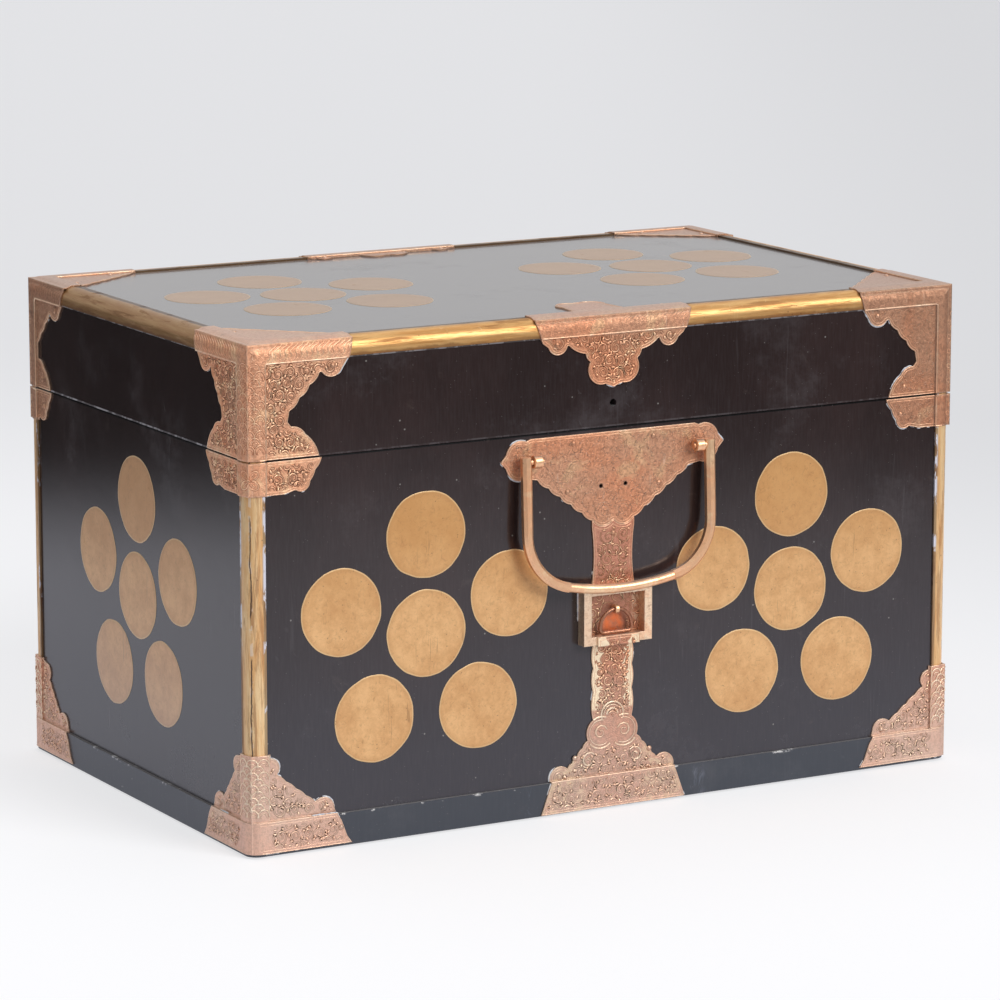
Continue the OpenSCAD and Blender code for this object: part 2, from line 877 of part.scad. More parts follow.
module lock_strap_node() {
    color(bright_copper) difference() {
        flat_sheet() {
            upper_strap_outline();
            translate([-frame_w / 2, frame_foot]) square([frame_w, frame_h]);
        }
        strap_nail() nail_hole();
        staple_holes();
    }
}

module lock_frame_node() {
    w = frame_w / 2;
    gap = frame_gap_w / 2;
    front = -body_d / 2 - frame_out;
    back = -body_d / 2 - sheet_t;
    color(copper) difference() {
        box(-w, w, front, back, frame_foot, frame_top);
        box(-gap, gap, front - over, back + over, frame_gap_foot, frame_gap_top);
    }
}

// The sheet follows the plinth, and its top is folded out over the foot of the lock frame
module foot_mount_node() {
    w = strap_w / 2;
    front = -body_d / 2 - frame_out;
    color(copper) {
        difference() {
            intersection() {
                case_sheet();
                front_cut() foot_mount_outline();
            }
            foot_mount_nails() nail_hole();
        }
        box(-w, w, front - sheet_t, -body_d / 2, frame_foot - sheet_t, frame_foot);
        box(-w, w, front - sheet_t, front, frame_foot - sheet_t, frame_gap_foot);
    }
}

module case_nails_node() {
    color(copper) {
        at_both_sides() case_front_nails() nail();
        for (right = [false, true]) mirror_if(right, [1, 0, 0]) case_left_nails() nail();
    }
}

// One disc in the middle and five round it, one of them straight up
module crest() {
    cylinder(r = disc_r, h = disc_t);
    for (i = [0 : 4]) rotate([0, 0, 90 + 72 * i]) translate([crest_r, 0, 0])
        cylinder(r = disc_r, h = disc_t);
}

module case_crests_node() {
    color(gilt) {
        at_both_sides() for (x = [-1, 1]) on_front(x * crest_x, crest_z, 0) crest();
        for (right = [false, true]) mirror_if(right, [1, 0, 0])
            on_left(0, end_crest_z, 0) rotate([0, 0, -90]) crest();
    }
}

// The bail

// A square bar with flattened edges, cut across
module bar_section(t) {
    h = t / 2;
    c = t * 0.27;
    polygon([
        [h - c, -h], [h, c - h], [h, h - c], [h - c, h], [c - h, h], [-h, h - c], [-h, c - h], [c - h, -h]
    ]);
}

// A section bent in the plane of x and z, about a centre, from angle a0 to a1
module bent_bar(centre, r, a0, a1) {
    translate([centre.x, 0, centre.y]) rotate([90, 0, 0]) rotate([0, 0, a0])
        rotate_extrude(angle = a1 - a0) translate([r, 0]) children();
}

module bail_node() {
    pin_in = eye_pitch / 2 - eye_w / 2 - 1.5;
    color(copper) translate([0, -body_d / 2 - eye_out, eye_z]) rotate([-bail_lean, 0, 0])
        for (left = [false, true]) mirror_if(left, [1, 0, 0]) {
            bent_bar([0, bow_r - bail_drop], bow_r, -90, -90 + bow_a + run_on) circle(d = foot_t);
            bent_bar([bend_x, -bend_v], bend_r, -90 + bow_a, run_on) bar_section(bend_t);
            translate([bail_x, 0, -bend_v]) linear_extrude(bend_v + bar_t / 2) bar_section(bar_t);
            translate([pin_in, 0, 0]) rotate([0, 90, 0]) cylinder(d = pin_d, h = bail_x - pin_in);
        }
}

// The lock ring: an arch of wire with a flat foot

module wire(from, to) {
    run = to - from;
    tilt = run.x == 0 ? 0 : 90;
    translate([from.x, 0, from.y]) rotate([0, tilt, 0]) cylinder(d = ring_wire, h = norm(run));
}

module lock_ring_node() {
    arch_r = (ring_w - ring_wire) / 2;
    foot = -(ring_z - frame_gap_foot - ring_gap - ring_wire / 2);
    color(copper) translate([0, -body_d / 2 - ring_out, ring_z]) {
        bent_bar([0, -arch_r], arch_r, 0, 180) circle(d = ring_wire);
        for (left = [false, true]) mirror_if(left, [1, 0, 0]) {
            wire([arch_r, foot + ring_bend], [arch_r, -arch_r]);
            bent_bar([arch_r - ring_bend, foot + ring_bend], ring_bend, -90, 0) circle(d = ring_wire);
        }
        wire([-arch_r + ring_bend, foot], [arch_r - ring_bend, foot]);
    }
}

// The lid

module lid_panel_node() {
    x = edge_x - bead_w - joint_play;
    y = edge_y - bead_w - joint_play;
    mid = panel_z - panel_t / 2;
    color(lacquer) difference() {
        union() {
            box(-x, x, -y, y, panel_z - panel_t, panel_z);
            translate([0, 0, mid]) cube([2 * (x + tongue_w), 2 * (y + tongue_w), tongue_t], center = true);
        }
        lid_top_nails() nail_hole();
    }
}

module lid_front_board_node() {
    color(lacquer) difference() {
        box(-in_x, in_x, -body_d / 2, -in_y, lid_z, bead_z);
        lid_front_nails() nail_hole();
        lid_hole();
    }
}

module lid_left_board_node() {
    color(lacquer) difference() {
        box(-body_w / 2, -in_x, -in_y, in_y, lid_z, bead_z);
        lid_left_nails() nail_hole();
    }
}

// Four beads, mitred at the corners and grooved for the tongue of the panel
module lid_beads_node() {
    x = edge_x - bead_w + tongue_w + joint_play;
    y = edge_y - bead_w + tongue_w + joint_play;
    mid = panel_z - panel_t / 2;
    half = tongue_t / 2 + joint_play;
    color(gilt) difference() {
        lid_block(0, bead_z);
        bead_opening(0, bead_z - over);
        box(-x, x, -y, y, mid - half, mid + half);
        at_four_corners() translate([-edge_x, -edge_y, bead_z + bead_h / 2]) rotate([0, 0, 45])
            cube([4 * bead_w, mitre_gap, 2 * bead_h], center = true);
    }
}

module lid_corner_node(back) {
    end_reach = end_lid_reach(back);
    color(copper) difference() {
        intersection() {
            lid_sheet();
            union() {
                front_cut() translate([-edge_x, 0]) lid_flap(0, lid_reach);
                left_cut() translate([-edge_y, 0]) lid_flap(end_grow(back), end_reach);
                translate([-edge_x, -edge_y, bead_z]) linear_extrude(bead_h + reach_out)
                    lid_top_flap(end_reach);
            }
        }
        lid_nails_on_front() nail_hole();
        lid_nails_on_left(back) nail_hole();
        lid_nails_on_top(back) nail_hole();
    }
}

module lid_mount_node(top_reach) {
    color(copper) difference() {
        intersection() {
            lid_sheet();
            union() {
                front_cut() lid_mount_flap();
                translate([0, -edge_y, bead_z]) linear_extrude(bead_h + reach_out)
                    lid_mount_top_flap(top_reach);
            }
        }
        lid_mount_nails() nail_hole();
        lid_mount_top_nails() nail_hole();
    }
}

module lid_nails_node() {
    color(copper) {
        at_both_sides() lid_front_nails() nail();
        for (right = [false, true]) mirror_if(right, [1, 0, 0]) lid_left_nails() nail();
        lid_top_nails() nail();
    }
}

module lid_crests_node() {
    color(gilt) for (x = [-1, 1]) on_lid(x * lid_crest_x, lid_crest_y, 0) crest();
}

floor_board_node();  // floor_board
front_board_node();  // front_board
at_back() front_board_node();  // back_board
left_board_node();  // left_board
at_corner(true, false) left_board_node();  // right_board
post(plinth_h, case_h);  // corner_post_front_left
at_corner(true, false) post(plinth_h, case_h);  // corner_post_front_right
at_corner(false, true) post(plinth_h, case_h);  // corner_post_back_left
at_corner(true, true) post(plinth_h, case_h);  // corner_post_back_right
plinth_front_node();  // plinth_front
at_back() plinth_front_node();  // plinth_back
plinth_left_node();  // plinth_left
at_back() plinth_left_node();  // plinth_right
rim_lip_front_node();  // rim_lip_front
at_back() rim_lip_front_node();  // rim_lip_back
rim_lip_left_node();  // rim_lip_left
at_back() rim_lip_left_node();  // rim_lip_right
seam_corner_node(false);  // seam_corner_front_left
at_corner(true, false) seam_corner_node(false);  // seam_corner_front_right
at_corner(false, true) seam_corner_node(true);  // seam_corner_back_left
at_corner(true, true) seam_corner_node(true);  // seam_corner_back_right
foot_corner_node();  // foot_corner_front_left
at_corner(true, false) foot_corner_node();  // foot_corner_front_right
at_corner(false, true) foot_corner_node();  // foot_corner_back_left
at_corner(true, true) foot_corner_node();  // foot_corner_back_right
handle_plate_node();  // handle_plate_front
at_back() handle_plate_node();  // handle_plate_back
lock_strap_node();  // lock_strap_front
at_back() lock_strap_node();  // lock_strap_back
lock_frame_node();  // lock_frame_front
at_back() lock_frame_node();  // lock_frame_back
staples_node();  // staples_front
at_back() staples_node();  // staples_back
foot_mount_node();  // foot_mount_front
at_back() foot_mount_node();  // foot_mount_back
case_nails_node();  // case_nails
case_crests_node();  // case_crests
bail_node();  // bail_front
at_back() bail_node();  // bail_back
lock_ring_node();  // lock_ring_front
at_back() lock_ring_node();  // lock_ring_back
lid_panel_node();  // lid_panel
lid_front_board_node();  // lid_front_board
at_back() lid_front_board_node();  // lid_back_board
lid_left_board_node();  // lid_left_board
at_corner(true, false) lid_left_board_node();  // lid_right_board
post(lid_z, bead_z);  // lid_post_front_left
at_corner(true, false) post(lid_z, bead_z);  // lid_post_front_right
at_corner(false, true) post(lid_z, bead_z);  // lid_post_back_left
at_corner(true, true) post(lid_z, bead_z);  // lid_post_back_right
lid_beads_node();  // lid_beads
lid_corner_node(false);  // lid_corner_front_left
at_corner(true, false) lid_corner_node(false);  // lid_corner_front_right
at_corner(false, true) lid_corner_node(true);  // lid_corner_back_left
at_corner(true, true) lid_corner_node(true);  // lid_corner_back_right
lid_mount_node(lid_mount_top);  // lid_mount_front
at_back() lid_mount_node(back_mount_top);  // lid_mount_back
lid_nails_node();  // lid_nails
lid_crests_node();  // lid_crests
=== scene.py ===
# %% [markdown]
# # A lacquered travelling trunk
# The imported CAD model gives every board, bead, mount, nail and bail at its true size and place.
# This lesson dresses it: soft studio light, worn lacquer, gold leaf, and the chased lines that a
# metalworker cuts into copper sheet.

# %% Load the frame
import json
import math
import random

import bmesh
import bpy
from mathutils import Matrix, Vector, noise
from mathutils.bvhtree import BVHTree
from mathutils.kdtree import KDTree


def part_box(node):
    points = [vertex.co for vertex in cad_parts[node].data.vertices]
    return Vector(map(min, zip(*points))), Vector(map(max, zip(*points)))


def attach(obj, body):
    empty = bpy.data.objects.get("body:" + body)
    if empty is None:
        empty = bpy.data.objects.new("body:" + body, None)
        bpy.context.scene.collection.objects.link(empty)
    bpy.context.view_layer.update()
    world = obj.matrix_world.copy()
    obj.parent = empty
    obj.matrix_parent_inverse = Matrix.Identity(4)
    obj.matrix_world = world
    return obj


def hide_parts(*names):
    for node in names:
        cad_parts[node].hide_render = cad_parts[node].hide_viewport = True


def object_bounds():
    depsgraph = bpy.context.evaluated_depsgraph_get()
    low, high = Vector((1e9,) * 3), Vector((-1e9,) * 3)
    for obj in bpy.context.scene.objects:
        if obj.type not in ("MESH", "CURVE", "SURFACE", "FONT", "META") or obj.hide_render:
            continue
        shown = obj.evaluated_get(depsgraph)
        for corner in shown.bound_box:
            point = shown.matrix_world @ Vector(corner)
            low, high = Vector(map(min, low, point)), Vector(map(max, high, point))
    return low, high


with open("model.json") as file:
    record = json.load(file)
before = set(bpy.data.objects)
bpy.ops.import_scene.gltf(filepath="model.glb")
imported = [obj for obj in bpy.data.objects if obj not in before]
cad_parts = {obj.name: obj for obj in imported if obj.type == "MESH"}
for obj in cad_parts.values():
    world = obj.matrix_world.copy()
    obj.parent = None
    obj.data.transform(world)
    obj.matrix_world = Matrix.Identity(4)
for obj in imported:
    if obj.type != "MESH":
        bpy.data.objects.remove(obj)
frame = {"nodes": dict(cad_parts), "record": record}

cad_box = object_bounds()
nodes = frame["nodes"]
MM = 0.001
print("solids:", [round(v / MM, 1) for v in cad_box[1] - cad_box[0]], "mm")

# %% [markdown]
# ## Camera
# The photograph was taken from far off with a long lens, a little to the left of the middle and
# a little above. A long lens keeps the edges of the trunk nearly parallel, so the lens and the
# distance matter as much as the direction.

# %% Camera
camera_data = bpy.data.cameras.new("camera")
camera_data.sensor_width = 36
camera_data.lens = 169.6
camera_data.clip_start, camera_data.clip_end = 0.05, 60
camera = bpy.data.objects.new("camera", camera_data)
bpy.context.scene.collection.objects.link(camera)
camera.location = Vector((-1739.4, -3103.1, 896.6)) * MM
camera.rotation_euler = (math.radians(90 - 11.09), 0, math.radians(-29.42))
bpy.context.scene.camera = camera
bpy.context.scene.view_settings.view_transform = "Standard"
print("camera", [round(v, 2) for v in camera.location])

# %% [markdown]
# ## Helpers for shader nodes
# Materials are networks of nodes. These few helpers add a node, set or link its sockets, and
# return its output, so each material below reads from top to bottom like a recipe.

# %% Node helpers
def srgb(r, g, b):
    """A colour as read from a screen, 0 to 255, turned into the linear values that nodes use."""
    parts = [v / 255 for v in (r, g, b)]
    return tuple(p / 12.92 if p <= 0.04045 else ((p + 0.055) / 1.055) ** 2.4 for p in parts) + (1.0,)


def plug(sockets, links):
    """Gives each named socket a value, or links it to another node's output."""
    for name, value in links.items():
        if isinstance(value, bpy.types.NodeSocket):
            value.id_data.links.new(value, sockets[name])
        else:
            sockets[name].default_value = value


def node(tree, kind, links=None, **settings):
    """Adds a node. links gives its sockets values or other nodes' outputs."""
    made = tree.nodes.new(kind)
    for name, value in settings.items():
        setattr(made, name, value)
    plug(made.inputs, links or {})
    return made


def after(kind, links, **settings):
    """Adds a node to the tree of the first output that it is linked to."""
    tree = next(v.id_data for v in links.values() if isinstance(v, bpy.types.NodeSocket))
    return node(tree, kind, links, **settings)


# %% Sums
def calc(operation, a, b=0.0):
    """One sum on two numbers."""
    return after("ShaderNodeMath", {0: a, 1: b}, operation=operation).outputs[0]


def plus(a, b):
    """a + b"""
    return calc("ADD", a, b)


def minus(a, b):
    """a - b"""
    return calc("SUBTRACT", a, b)


def times(first, *others):
    """The product of two or more numbers."""
    for other in others:
        first = calc("MULTIPLY", first, other)
    return first


def absolute(a):
    """a without its sign."""
    return calc("ABSOLUTE", a)


def distance(a, b):
    """How far a point is from the origin, from two of its coordinates."""
    return calc("SQRT", plus(times(a, a), times(b, b)))


# %% Masks and patterns
def blend(factor, a, b):
    """Mixes two colours."""
    return after("ShaderNodeMix", {0: factor, 6: a, 7: b}, data_type="RGBA").outputs[2]


def step(value, low, high):
    """0 where value is below low, 1 above high, and smooth between them."""
    return after("ShaderNodeMapRange", {"Value": value, "From Min": low, "From Max": high},
                 interpolation_type="SMOOTHSTEP").outputs[0]


def stripe(value, middle, outer, inner):
    """1 where value lies within inner of middle, and 0 beyond outer."""
    return step(absolute(minus(value, middle)), outer, inner)


def stretch(vector, scale):
    """Scales a pattern by a different amount along each axis."""
    return after("ShaderNodeMapping", {"Vector": vector, "Scale": scale}).outputs[0]


def cloud(vector, scale, detail=4.0, roughness=0.6, distortion=0.0):
    """Soft random patches, as a number about 0.5."""
    return after("ShaderNodeTexNoise", {"Vector": vector, "Scale": scale, "Detail": detail,
                                        "Roughness": roughness, "Distortion": distortion}).outputs[0]


def drift(vector, scale, detail, roughness, amount):
    """Soft random patches, as a number about 0 that is seldom larger than half of amount."""
    return times(minus(cloud(vector, scale, detail, roughness), 0.5), amount)


def axes(vector):
    """The three coordinates, each as a number."""
    return after("ShaderNodeSeparateXYZ", {0: vector}).outputs


def bump(height, depth, strength):
    """Turns a height into a tilt of the surface."""
    return after("ShaderNodeBump", {"Height": height, "Distance": depth, "Strength": strength}).outputs[0]


# %% Material helpers
def open_up(made):
    """The tree, the shader and the object coordinates of a material."""
    tree = made.node_tree
    return tree, tree.nodes["Principled BSDF"], node(tree, "ShaderNodeTexCoord").outputs["Object"]


def material(name):
    """A new material, with its tree, its shader and its object coordinates."""
    made = bpy.data.materials.new(name)
    made.use_nodes = True
    return made, *open_up(made)


def paint(shader, **sockets):
    """Sets or links the shader's own sockets."""
    plug(shader.inputs, {name.replace("_", " "): value for name, value in sockets.items()})


def coats(colour, *layers):
    """Lays coats over a colour in turn. Each is (mask, how much of it covers, its colour on a screen)."""
    for mask, share, coat in layers:
        colour = blend(times(mask, share), colour, srgb(*coat))
    return colour


def more_coats(shader, *layers):
    """Lays coats over the colour that a finished material has so far."""
    so_far = shader.inputs["Base Color"].links[0].from_socket
    paint(shader, Base_Color=coats(so_far, *layers))


# %% [markdown]
# ## Floor and light
# The floor is a wide white sheet that fades to the pale grey of the wall behind. A camera or a
# mirror sees it brighter than it really is, so it reads as white without flooding the trunk with
# bounced light. The main lamp stands to the front right, which leaves the left end in shade.

# %% Floor
FLOOR_RADIUS, FLOOR_GAP = 16, 1.5 * MM     # in metres; the floor lies just clear of the trunk
MIRROR_REACH, MIRROR_FADE = 1.42, 0.34     # the lacquer mirrors a white sheet as far as this, in metres
SEEN_GLOW, MIRROR_GLOW = 0.68, 0.70        # how brightly the floor shines, as seen and as mirrored
floor_seen, wall_seen = srgb(251, 251, 252), srgb(223, 223, 224)
far_left, far_right = srgb(207, 207, 208), srgb(190, 190, 191)

floor_mesh = bmesh.new()
bmesh.ops.create_circle(floor_mesh, cap_ends=True, segments=96, radius=FLOOR_RADIUS)
floor_data = bpy.data.meshes.new("floor")
floor_mesh.to_mesh(floor_data)
floor_mesh.free()
floor = bpy.data.objects.new("floor", floor_data)
bpy.context.scene.collection.objects.link(floor)
floor.location.z = -FLOOR_GAP

floor_paper, tree, shader, place = material("floor_paper")
x, y, z = axes(place)
seen = node(tree, "ShaderNodeLightPath").outputs
by_camera, mirrored = seen["Is Camera Ray"], seen["Is Glossy Ray"]
# The floor fades into the wall with distance, and the wall is greyer towards the right
fade = step(plus(x, times(y, 0.7)), -0.4, 2.0)
to_the_right = minus(times(x, 0.871), times(y, 0.491))
far_seen = blend(step(to_the_right, 0.0, 1.0), far_left, far_right)
# The mirrored sheet ends a little sooner behind the trunk
behind = times(step(y, 0.3, 0.9), 0.16)
lit_sheet = step(plus(distance(x, y), behind),
                 MIRROR_REACH + MIRROR_FADE, MIRROR_REACH - MIRROR_FADE)
plain = blend(by_camera, srgb(204, 204, 206), srgb(170, 170, 172))
in_mirror = blend(lit_sheet, srgb(30, 30, 30), srgb(190, 190, 192))
glow_seen = blend(fade, floor_seen, far_seen)
strength = plus(times(by_camera, SEEN_GLOW), times(mirrored, lit_sheet, MIRROR_GLOW))
paint(shader, Base_Color=blend(mirrored, plain, in_mirror), Roughness=0.8, Specular_IOR_Level=0.1,
      Emission_Color=blend(mirrored, glow_seen, srgb(238, 240, 254)), Emission_Strength=strength)
floor_data.materials.append(floor_paper)
print("floor:", [round(side, 1) for side in floor.dimensions], "m")

# %% Lamps and world
def sun(name, towards, strength, width):
    """A lamp as wide as width degrees, that shines from towards."""
    lamp = bpy.data.lights.new(name, "SUN")
    lamp.energy = strength
    lamp.angle = math.radians(width)
    made = bpy.data.objects.new(name, lamp)
    made.rotation_euler = Vector(towards).to_track_quat("Z", "Y").to_euler()
    bpy.context.scene.collection.objects.link(made)


sun("front_lamp", (0.34, -0.80, 0.52), 1.80, 30)
sun("top_lamp", (0.10, 0.30, 1.0), 0.55, 60)

ROOM_LIGHT = (0.33, 0.34, 0.36, 1)         # what the wall throws on the trunk
world = bpy.data.worlds.new("studio")
bpy.context.scene.world = world
world.use_nodes = True
tree = world.node_tree
seen = node(tree, "ShaderNodeLightPath").outputs
shown = calc("MAXIMUM", seen["Is Camera Ray"], seen["Is Glossy Ray"])
shown = calc("MAXIMUM", shown, seen["Is Transmission Ray"])
tree.links.new(blend(shown, ROOM_LIGHT, wall_seen), tree.nodes["Background"].inputs["Color"])

# %% [markdown]
# ## Sizes
# The lesson works in the same frame as the CAD model. These sizes repeat the ones that the
# materials and the chased lines depend on, in metres.

# %% Sizes
SEAM_Z, TOP_Z = 286 * MM, 370.4 * MM       # rim of the case, top of the beads
PLINTH_Z, BEAD_Z = 24 * MM, 356.4 * MM     # top of the plinth, lower edge of the beads
BODY_X, BODY_Y = 297.5 * MM, 187 * MM      # outer faces of the boards
EDGE_X, EDGE_Y = 299 * MM, 188.5 * MM      # outer faces of the posts and beads
ROUND = 9 * MM                             # rounded edges of the posts and beads
SHEET_T = 1 * MM                           # thickness of the mounts
FRONT, BACK = Vector((0, -1, 0)), Vector((0, 1, 0))
LEFT, RIGHT = Vector((-1, 0, 0)), Vector((1, 0, 0))
UP = Vector((0, 0, 1))
print("boards:", round(2 * BODY_X / MM), "by", round(2 * BODY_Y / MM), "mm")

# %% [markdown]
# ## Effects that several materials share
# Age leaves the same marks on every finish: fine scratches, small specks, cloudy patches of
# tarnish, and dust that gathers low down. Each mark is a node group that gives a mask.

# %% Group helpers
def group(name, inputs, outputs):
    """A new group. inputs and outputs map socket names to kinds, such as Float."""
    made = bpy.data.node_groups.new(name, "ShaderNodeTree")
    for label, kind in inputs.items():
        made.interface.new_socket(label, in_out="INPUT", socket_type="NodeSocket" + kind)
    for label, kind in outputs.items():
        made.interface.new_socket(label, in_out="OUTPUT", socket_type="NodeSocket" + kind)
    return made, made.nodes.new("NodeGroupInput").outputs, made.nodes.new("NodeGroupOutput").inputs


def use(tree, name, **links):
    """Puts a group to work in a material and returns its outputs."""
    return node(tree, "ShaderNodeGroup", links, node_tree=bpy.data.node_groups[name]).outputs


# %% Scratches and specks
# Thin scratches that run mostly up and down, with some across them
tree, given, result = group("scratches", {"Place": "Vector", "Size": "Float"}, {"Mask": "Float"})
scaled = after("ShaderNodeVectorMath", {0: given["Place"], "Scale": given["Size"]},
               operation="SCALE").outputs[0]
upright = cloud(stretch(scaled, (170, 170, 16)), 1.0, 2, 0.5, 0.9)
turned = after("ShaderNodeMapping", {"Vector": scaled, "Rotation": (0.4, 0.5, 0.3)}).outputs[0]
slanted = cloud(stretch(turned, (230, 230, 9)), 1.0, 2, 0.5, 0.6)
where = step(cloud(scaled, 7, 2, 0.5), 0.42, 0.62)
lines = calc("MAXIMUM", step(upright, 0.64, 0.76), step(slanted, 0.70, 0.80))
tree.links.new(times(lines, where), result["Mask"])

# Small round specks, a few in each patch
tree, given, result = group("specks", {"Place": "Vector", "Scale": "Float", "Amount": "Float"},
                            {"Mask": "Float"})
cells = after("ShaderNodeTexVoronoi", {"Vector": given["Place"], "Scale": given["Scale"]})
dots = step(cells.outputs["Distance"], 0.22, 0.10)
chosen = calc("LESS_THAN", axes(cells.outputs["Color"])[0], given["Amount"])
tree.links.new(times(dots, chosen), result["Mask"])
print("groups:", sorted(g.name for g in bpy.data.node_groups))

# %% Patches and dust
# Cloudy patches with ragged edges
tree, given, result = group("patches", {"Place": "Vector", "Scale": "Float", "Share": "Float"},
                            {"Mask": "Float"})
ragged = cloud(given["Place"], given["Scale"], 8, 0.68, 0.5)
limit = minus(0.78, times(given["Share"], 0.5))
tree.links.new(step(ragged, limit, plus(limit, 0.09)), result["Mask"])

# Dust: it grows towards the floor, and lies on faces that look up
tree, given, result = group("dust", {"Place": "Vector", "Top": "Float"}, {"Low": "Float", "Flat": "Float"})
height = plus(axes(given["Place"])[2], drift(given["Place"], 5, 4, 0.6, 0.12))
tree.links.new(step(height, given["Top"], 0.02), result["Low"])
facing = axes(node(tree, "ShaderNodeNewGeometry").outputs["Normal"])[2]
tree.links.new(step(facing, 0.55, 0.95), result["Flat"])
print("groups:", sorted(g.name for g in bpy.data.node_groups))

# %% Punched rings and worn edges
# The ground of chased metal: rows of small punched rings
tree, given, result = group("punched", {"Place": "Vector", "Scale": "Float"}, {"Height": "Float"})
cells = after("ShaderNodeTexVoronoi",
              {"Vector": given["Place"], "Scale": given["Scale"], "Randomness": 0.75}).outputs["Distance"]
tree.links.new(calc("PINGPONG", times(cells, 1.6), 0.5), result["Height"])

# Where the surface turns quickly, hands and cloths have rubbed it bright, and the pale edge is also a
# painted highlight
tree, given, result = group("edge_wear_and_highlight", {"Radius": "Float"}, {"Mask": "Float", "Soft": "Vector"})
soft = after("ShaderNodeBevel", {"Radius": given["Radius"]}).outputs["Normal"]
sharp = node(tree, "ShaderNodeNewGeometry").outputs["Normal"]
turn = after("ShaderNodeVectorMath", {0: soft, 1: sharp}, operation="DOT_PRODUCT").outputs["Value"]
tree.links.new(step(turn, 0.995, 0.93), result["Mask"])
tree.links.new(soft, result["Soft"])
print("groups:", sorted(g.name for g in bpy.data.node_groups))

# %% [markdown]
# ## Lacquer
# Black lacquer ages to a warm brown where it is clean and to a cool grey where dust has dulled
# it. On the walls the grey grows towards the floor; on the lid it lies all over the top. A pale
# line of dust has packed into the seam and under the beads.

# %% Lacquer
def lacquer(name, clean, dusty, dust_top, roughness, outside=1.0):
    """Dust reaches up to dust_top. outside is 1 where the seam under the lid shows, 0 inside the trunk."""
    made, tree, shader, place = material(name)
    x, y, z = axes(place)
    marks = use(tree, "scratches", Place=place, Size=1.0)["Mask"]
    flecks = use(tree, "specks", Place=place, Scale=260.0, Amount=0.014)["Mask"]
    fine = use(tree, "specks", Place=place, Scale=620.0, Amount=0.05)["Mask"]
    low, flat = use(tree, "dust", Place=place, Top=dust_top)
    worn = use(tree, "patches", Place=place, Scale=38.0, Share=0.32)["Mask"]
    smears = step(cloud(stretch(place, (9, 9, 6)), 1.0, 8, 0.70, 0.2), 0.40, 0.72)
    grain = step(cloud(stretch(place, (700, 700, 60)), 1.0, 3, 0.6), 0.35, 0.75)
    smoke = step(cloud(place, 14, 8, 0.74), 0.52, 0.74)
    at_end = step(absolute(x), BODY_X - 2 * MM, BODY_X - 1 * MM)
    rim = times(stripe(z, SEAM_Z + 1.1 * MM, 0.8 * MM, 0.4 * MM),
                plus(0.12, times(at_end, 1.1)))
    under_bead = stripe(z, BEAD_Z - 0.5 * MM, 0.9 * MM, 0.4 * MM)
    flaked = step(cloud(place, 95, 4, 0.7), 0.46, 0.56)
    packed = times(calc("MAXIMUM", rim, under_bead), plus(0.35, flaked))
    # Painted shade: a dark line along the seam, where the gap between lid and case lies in shade
    gap = stripe(z, SEAM_Z - 0.3 * MM, 0.9 * MM, 0.5 * MM)
    colour = blend(smears, srgb(*clean), [v * 1.5 for v in srgb(*clean)[:3]] + [1.0])
    colour = coats(colour, (low, 1.0, dusty),
                   (flat, 0.9, (134, 130, 129)), (grain, 0.035, (128, 124, 126)),
                   (smoke, 0.085, (140, 136, 140)), (packed, 0.6 * outside, (196, 192, 196)),
                   (gap, outside, (14, 11, 11)), (marks, 0.07, (150, 146, 148)),
                   (worn, 0.10, (118, 104, 96)), (fine, 0.35, (150, 146, 142)),
                   (flecks, 0.55, (172, 168, 162)))
    gloss = plus(roughness, times(plus(low, smoke), 0.10))
    relief = plus(times(cloud(place, 26, 3, 0.5), 0.8), times(marks, -0.25))
    paint(shader, Base_Color=colour, Roughness=gloss, Normal=bump(relief, 0.4 * MM, 0.25))
    return made


black_lacquer = lacquer("black_lacquer", (43, 31, 30), (56, 53, 59), dust_top=0.22, roughness=0.15)
plinth_lacquer = lacquer("plinth_lacquer", (50, 50, 56), (58, 62, 70), dust_top=0.09, roughness=0.26)
inner_lacquer = lacquer("inner_lacquer", (84, 36, 26), (96, 50, 38), dust_top=0.06, roughness=0.55,
                        outside=0.0)
print("lacquer:", [m.name for m in (black_lacquer, plinth_lacquer, inner_lacquer)])

# %% Scuffed plinth
# The top line of the plinth has lost its lacquer in flakes, and dust is smudged beside the mounts
tree, shader, place = open_up(plinth_lacquer)
x, y, z = axes(place)
edge = step(z, PLINTH_Z - 2.2 * MM, PLINTH_Z - 0.4 * MM)
flakes = step(cloud(stretch(place, (55, 55, 120)), 1.0, 4, 0.7), 0.57, 0.63)
by_mounts = stripe(absolute(x), 69 * MM, 15 * MM, 2 * MM)
smudges = step(cloud(stretch(place, (60, 60, 26)), 1.0, 6, 0.7, 0.6), 0.52, 0.70)
more_coats(shader, (times(by_mounts, smudges), 0.75, (178, 184, 204)),
           (times(edge, flakes), 1.0, (226, 224, 222)))
print("plinth:", len(tree.nodes), "shader nodes")

# %% [markdown]
# ## Gold
# The posts and beads are gilded wood. The leaf has worn through to brown size along the posts,
# and the beads are stained in patches. The crests are thicker leaf, laid flat and finely scratched.

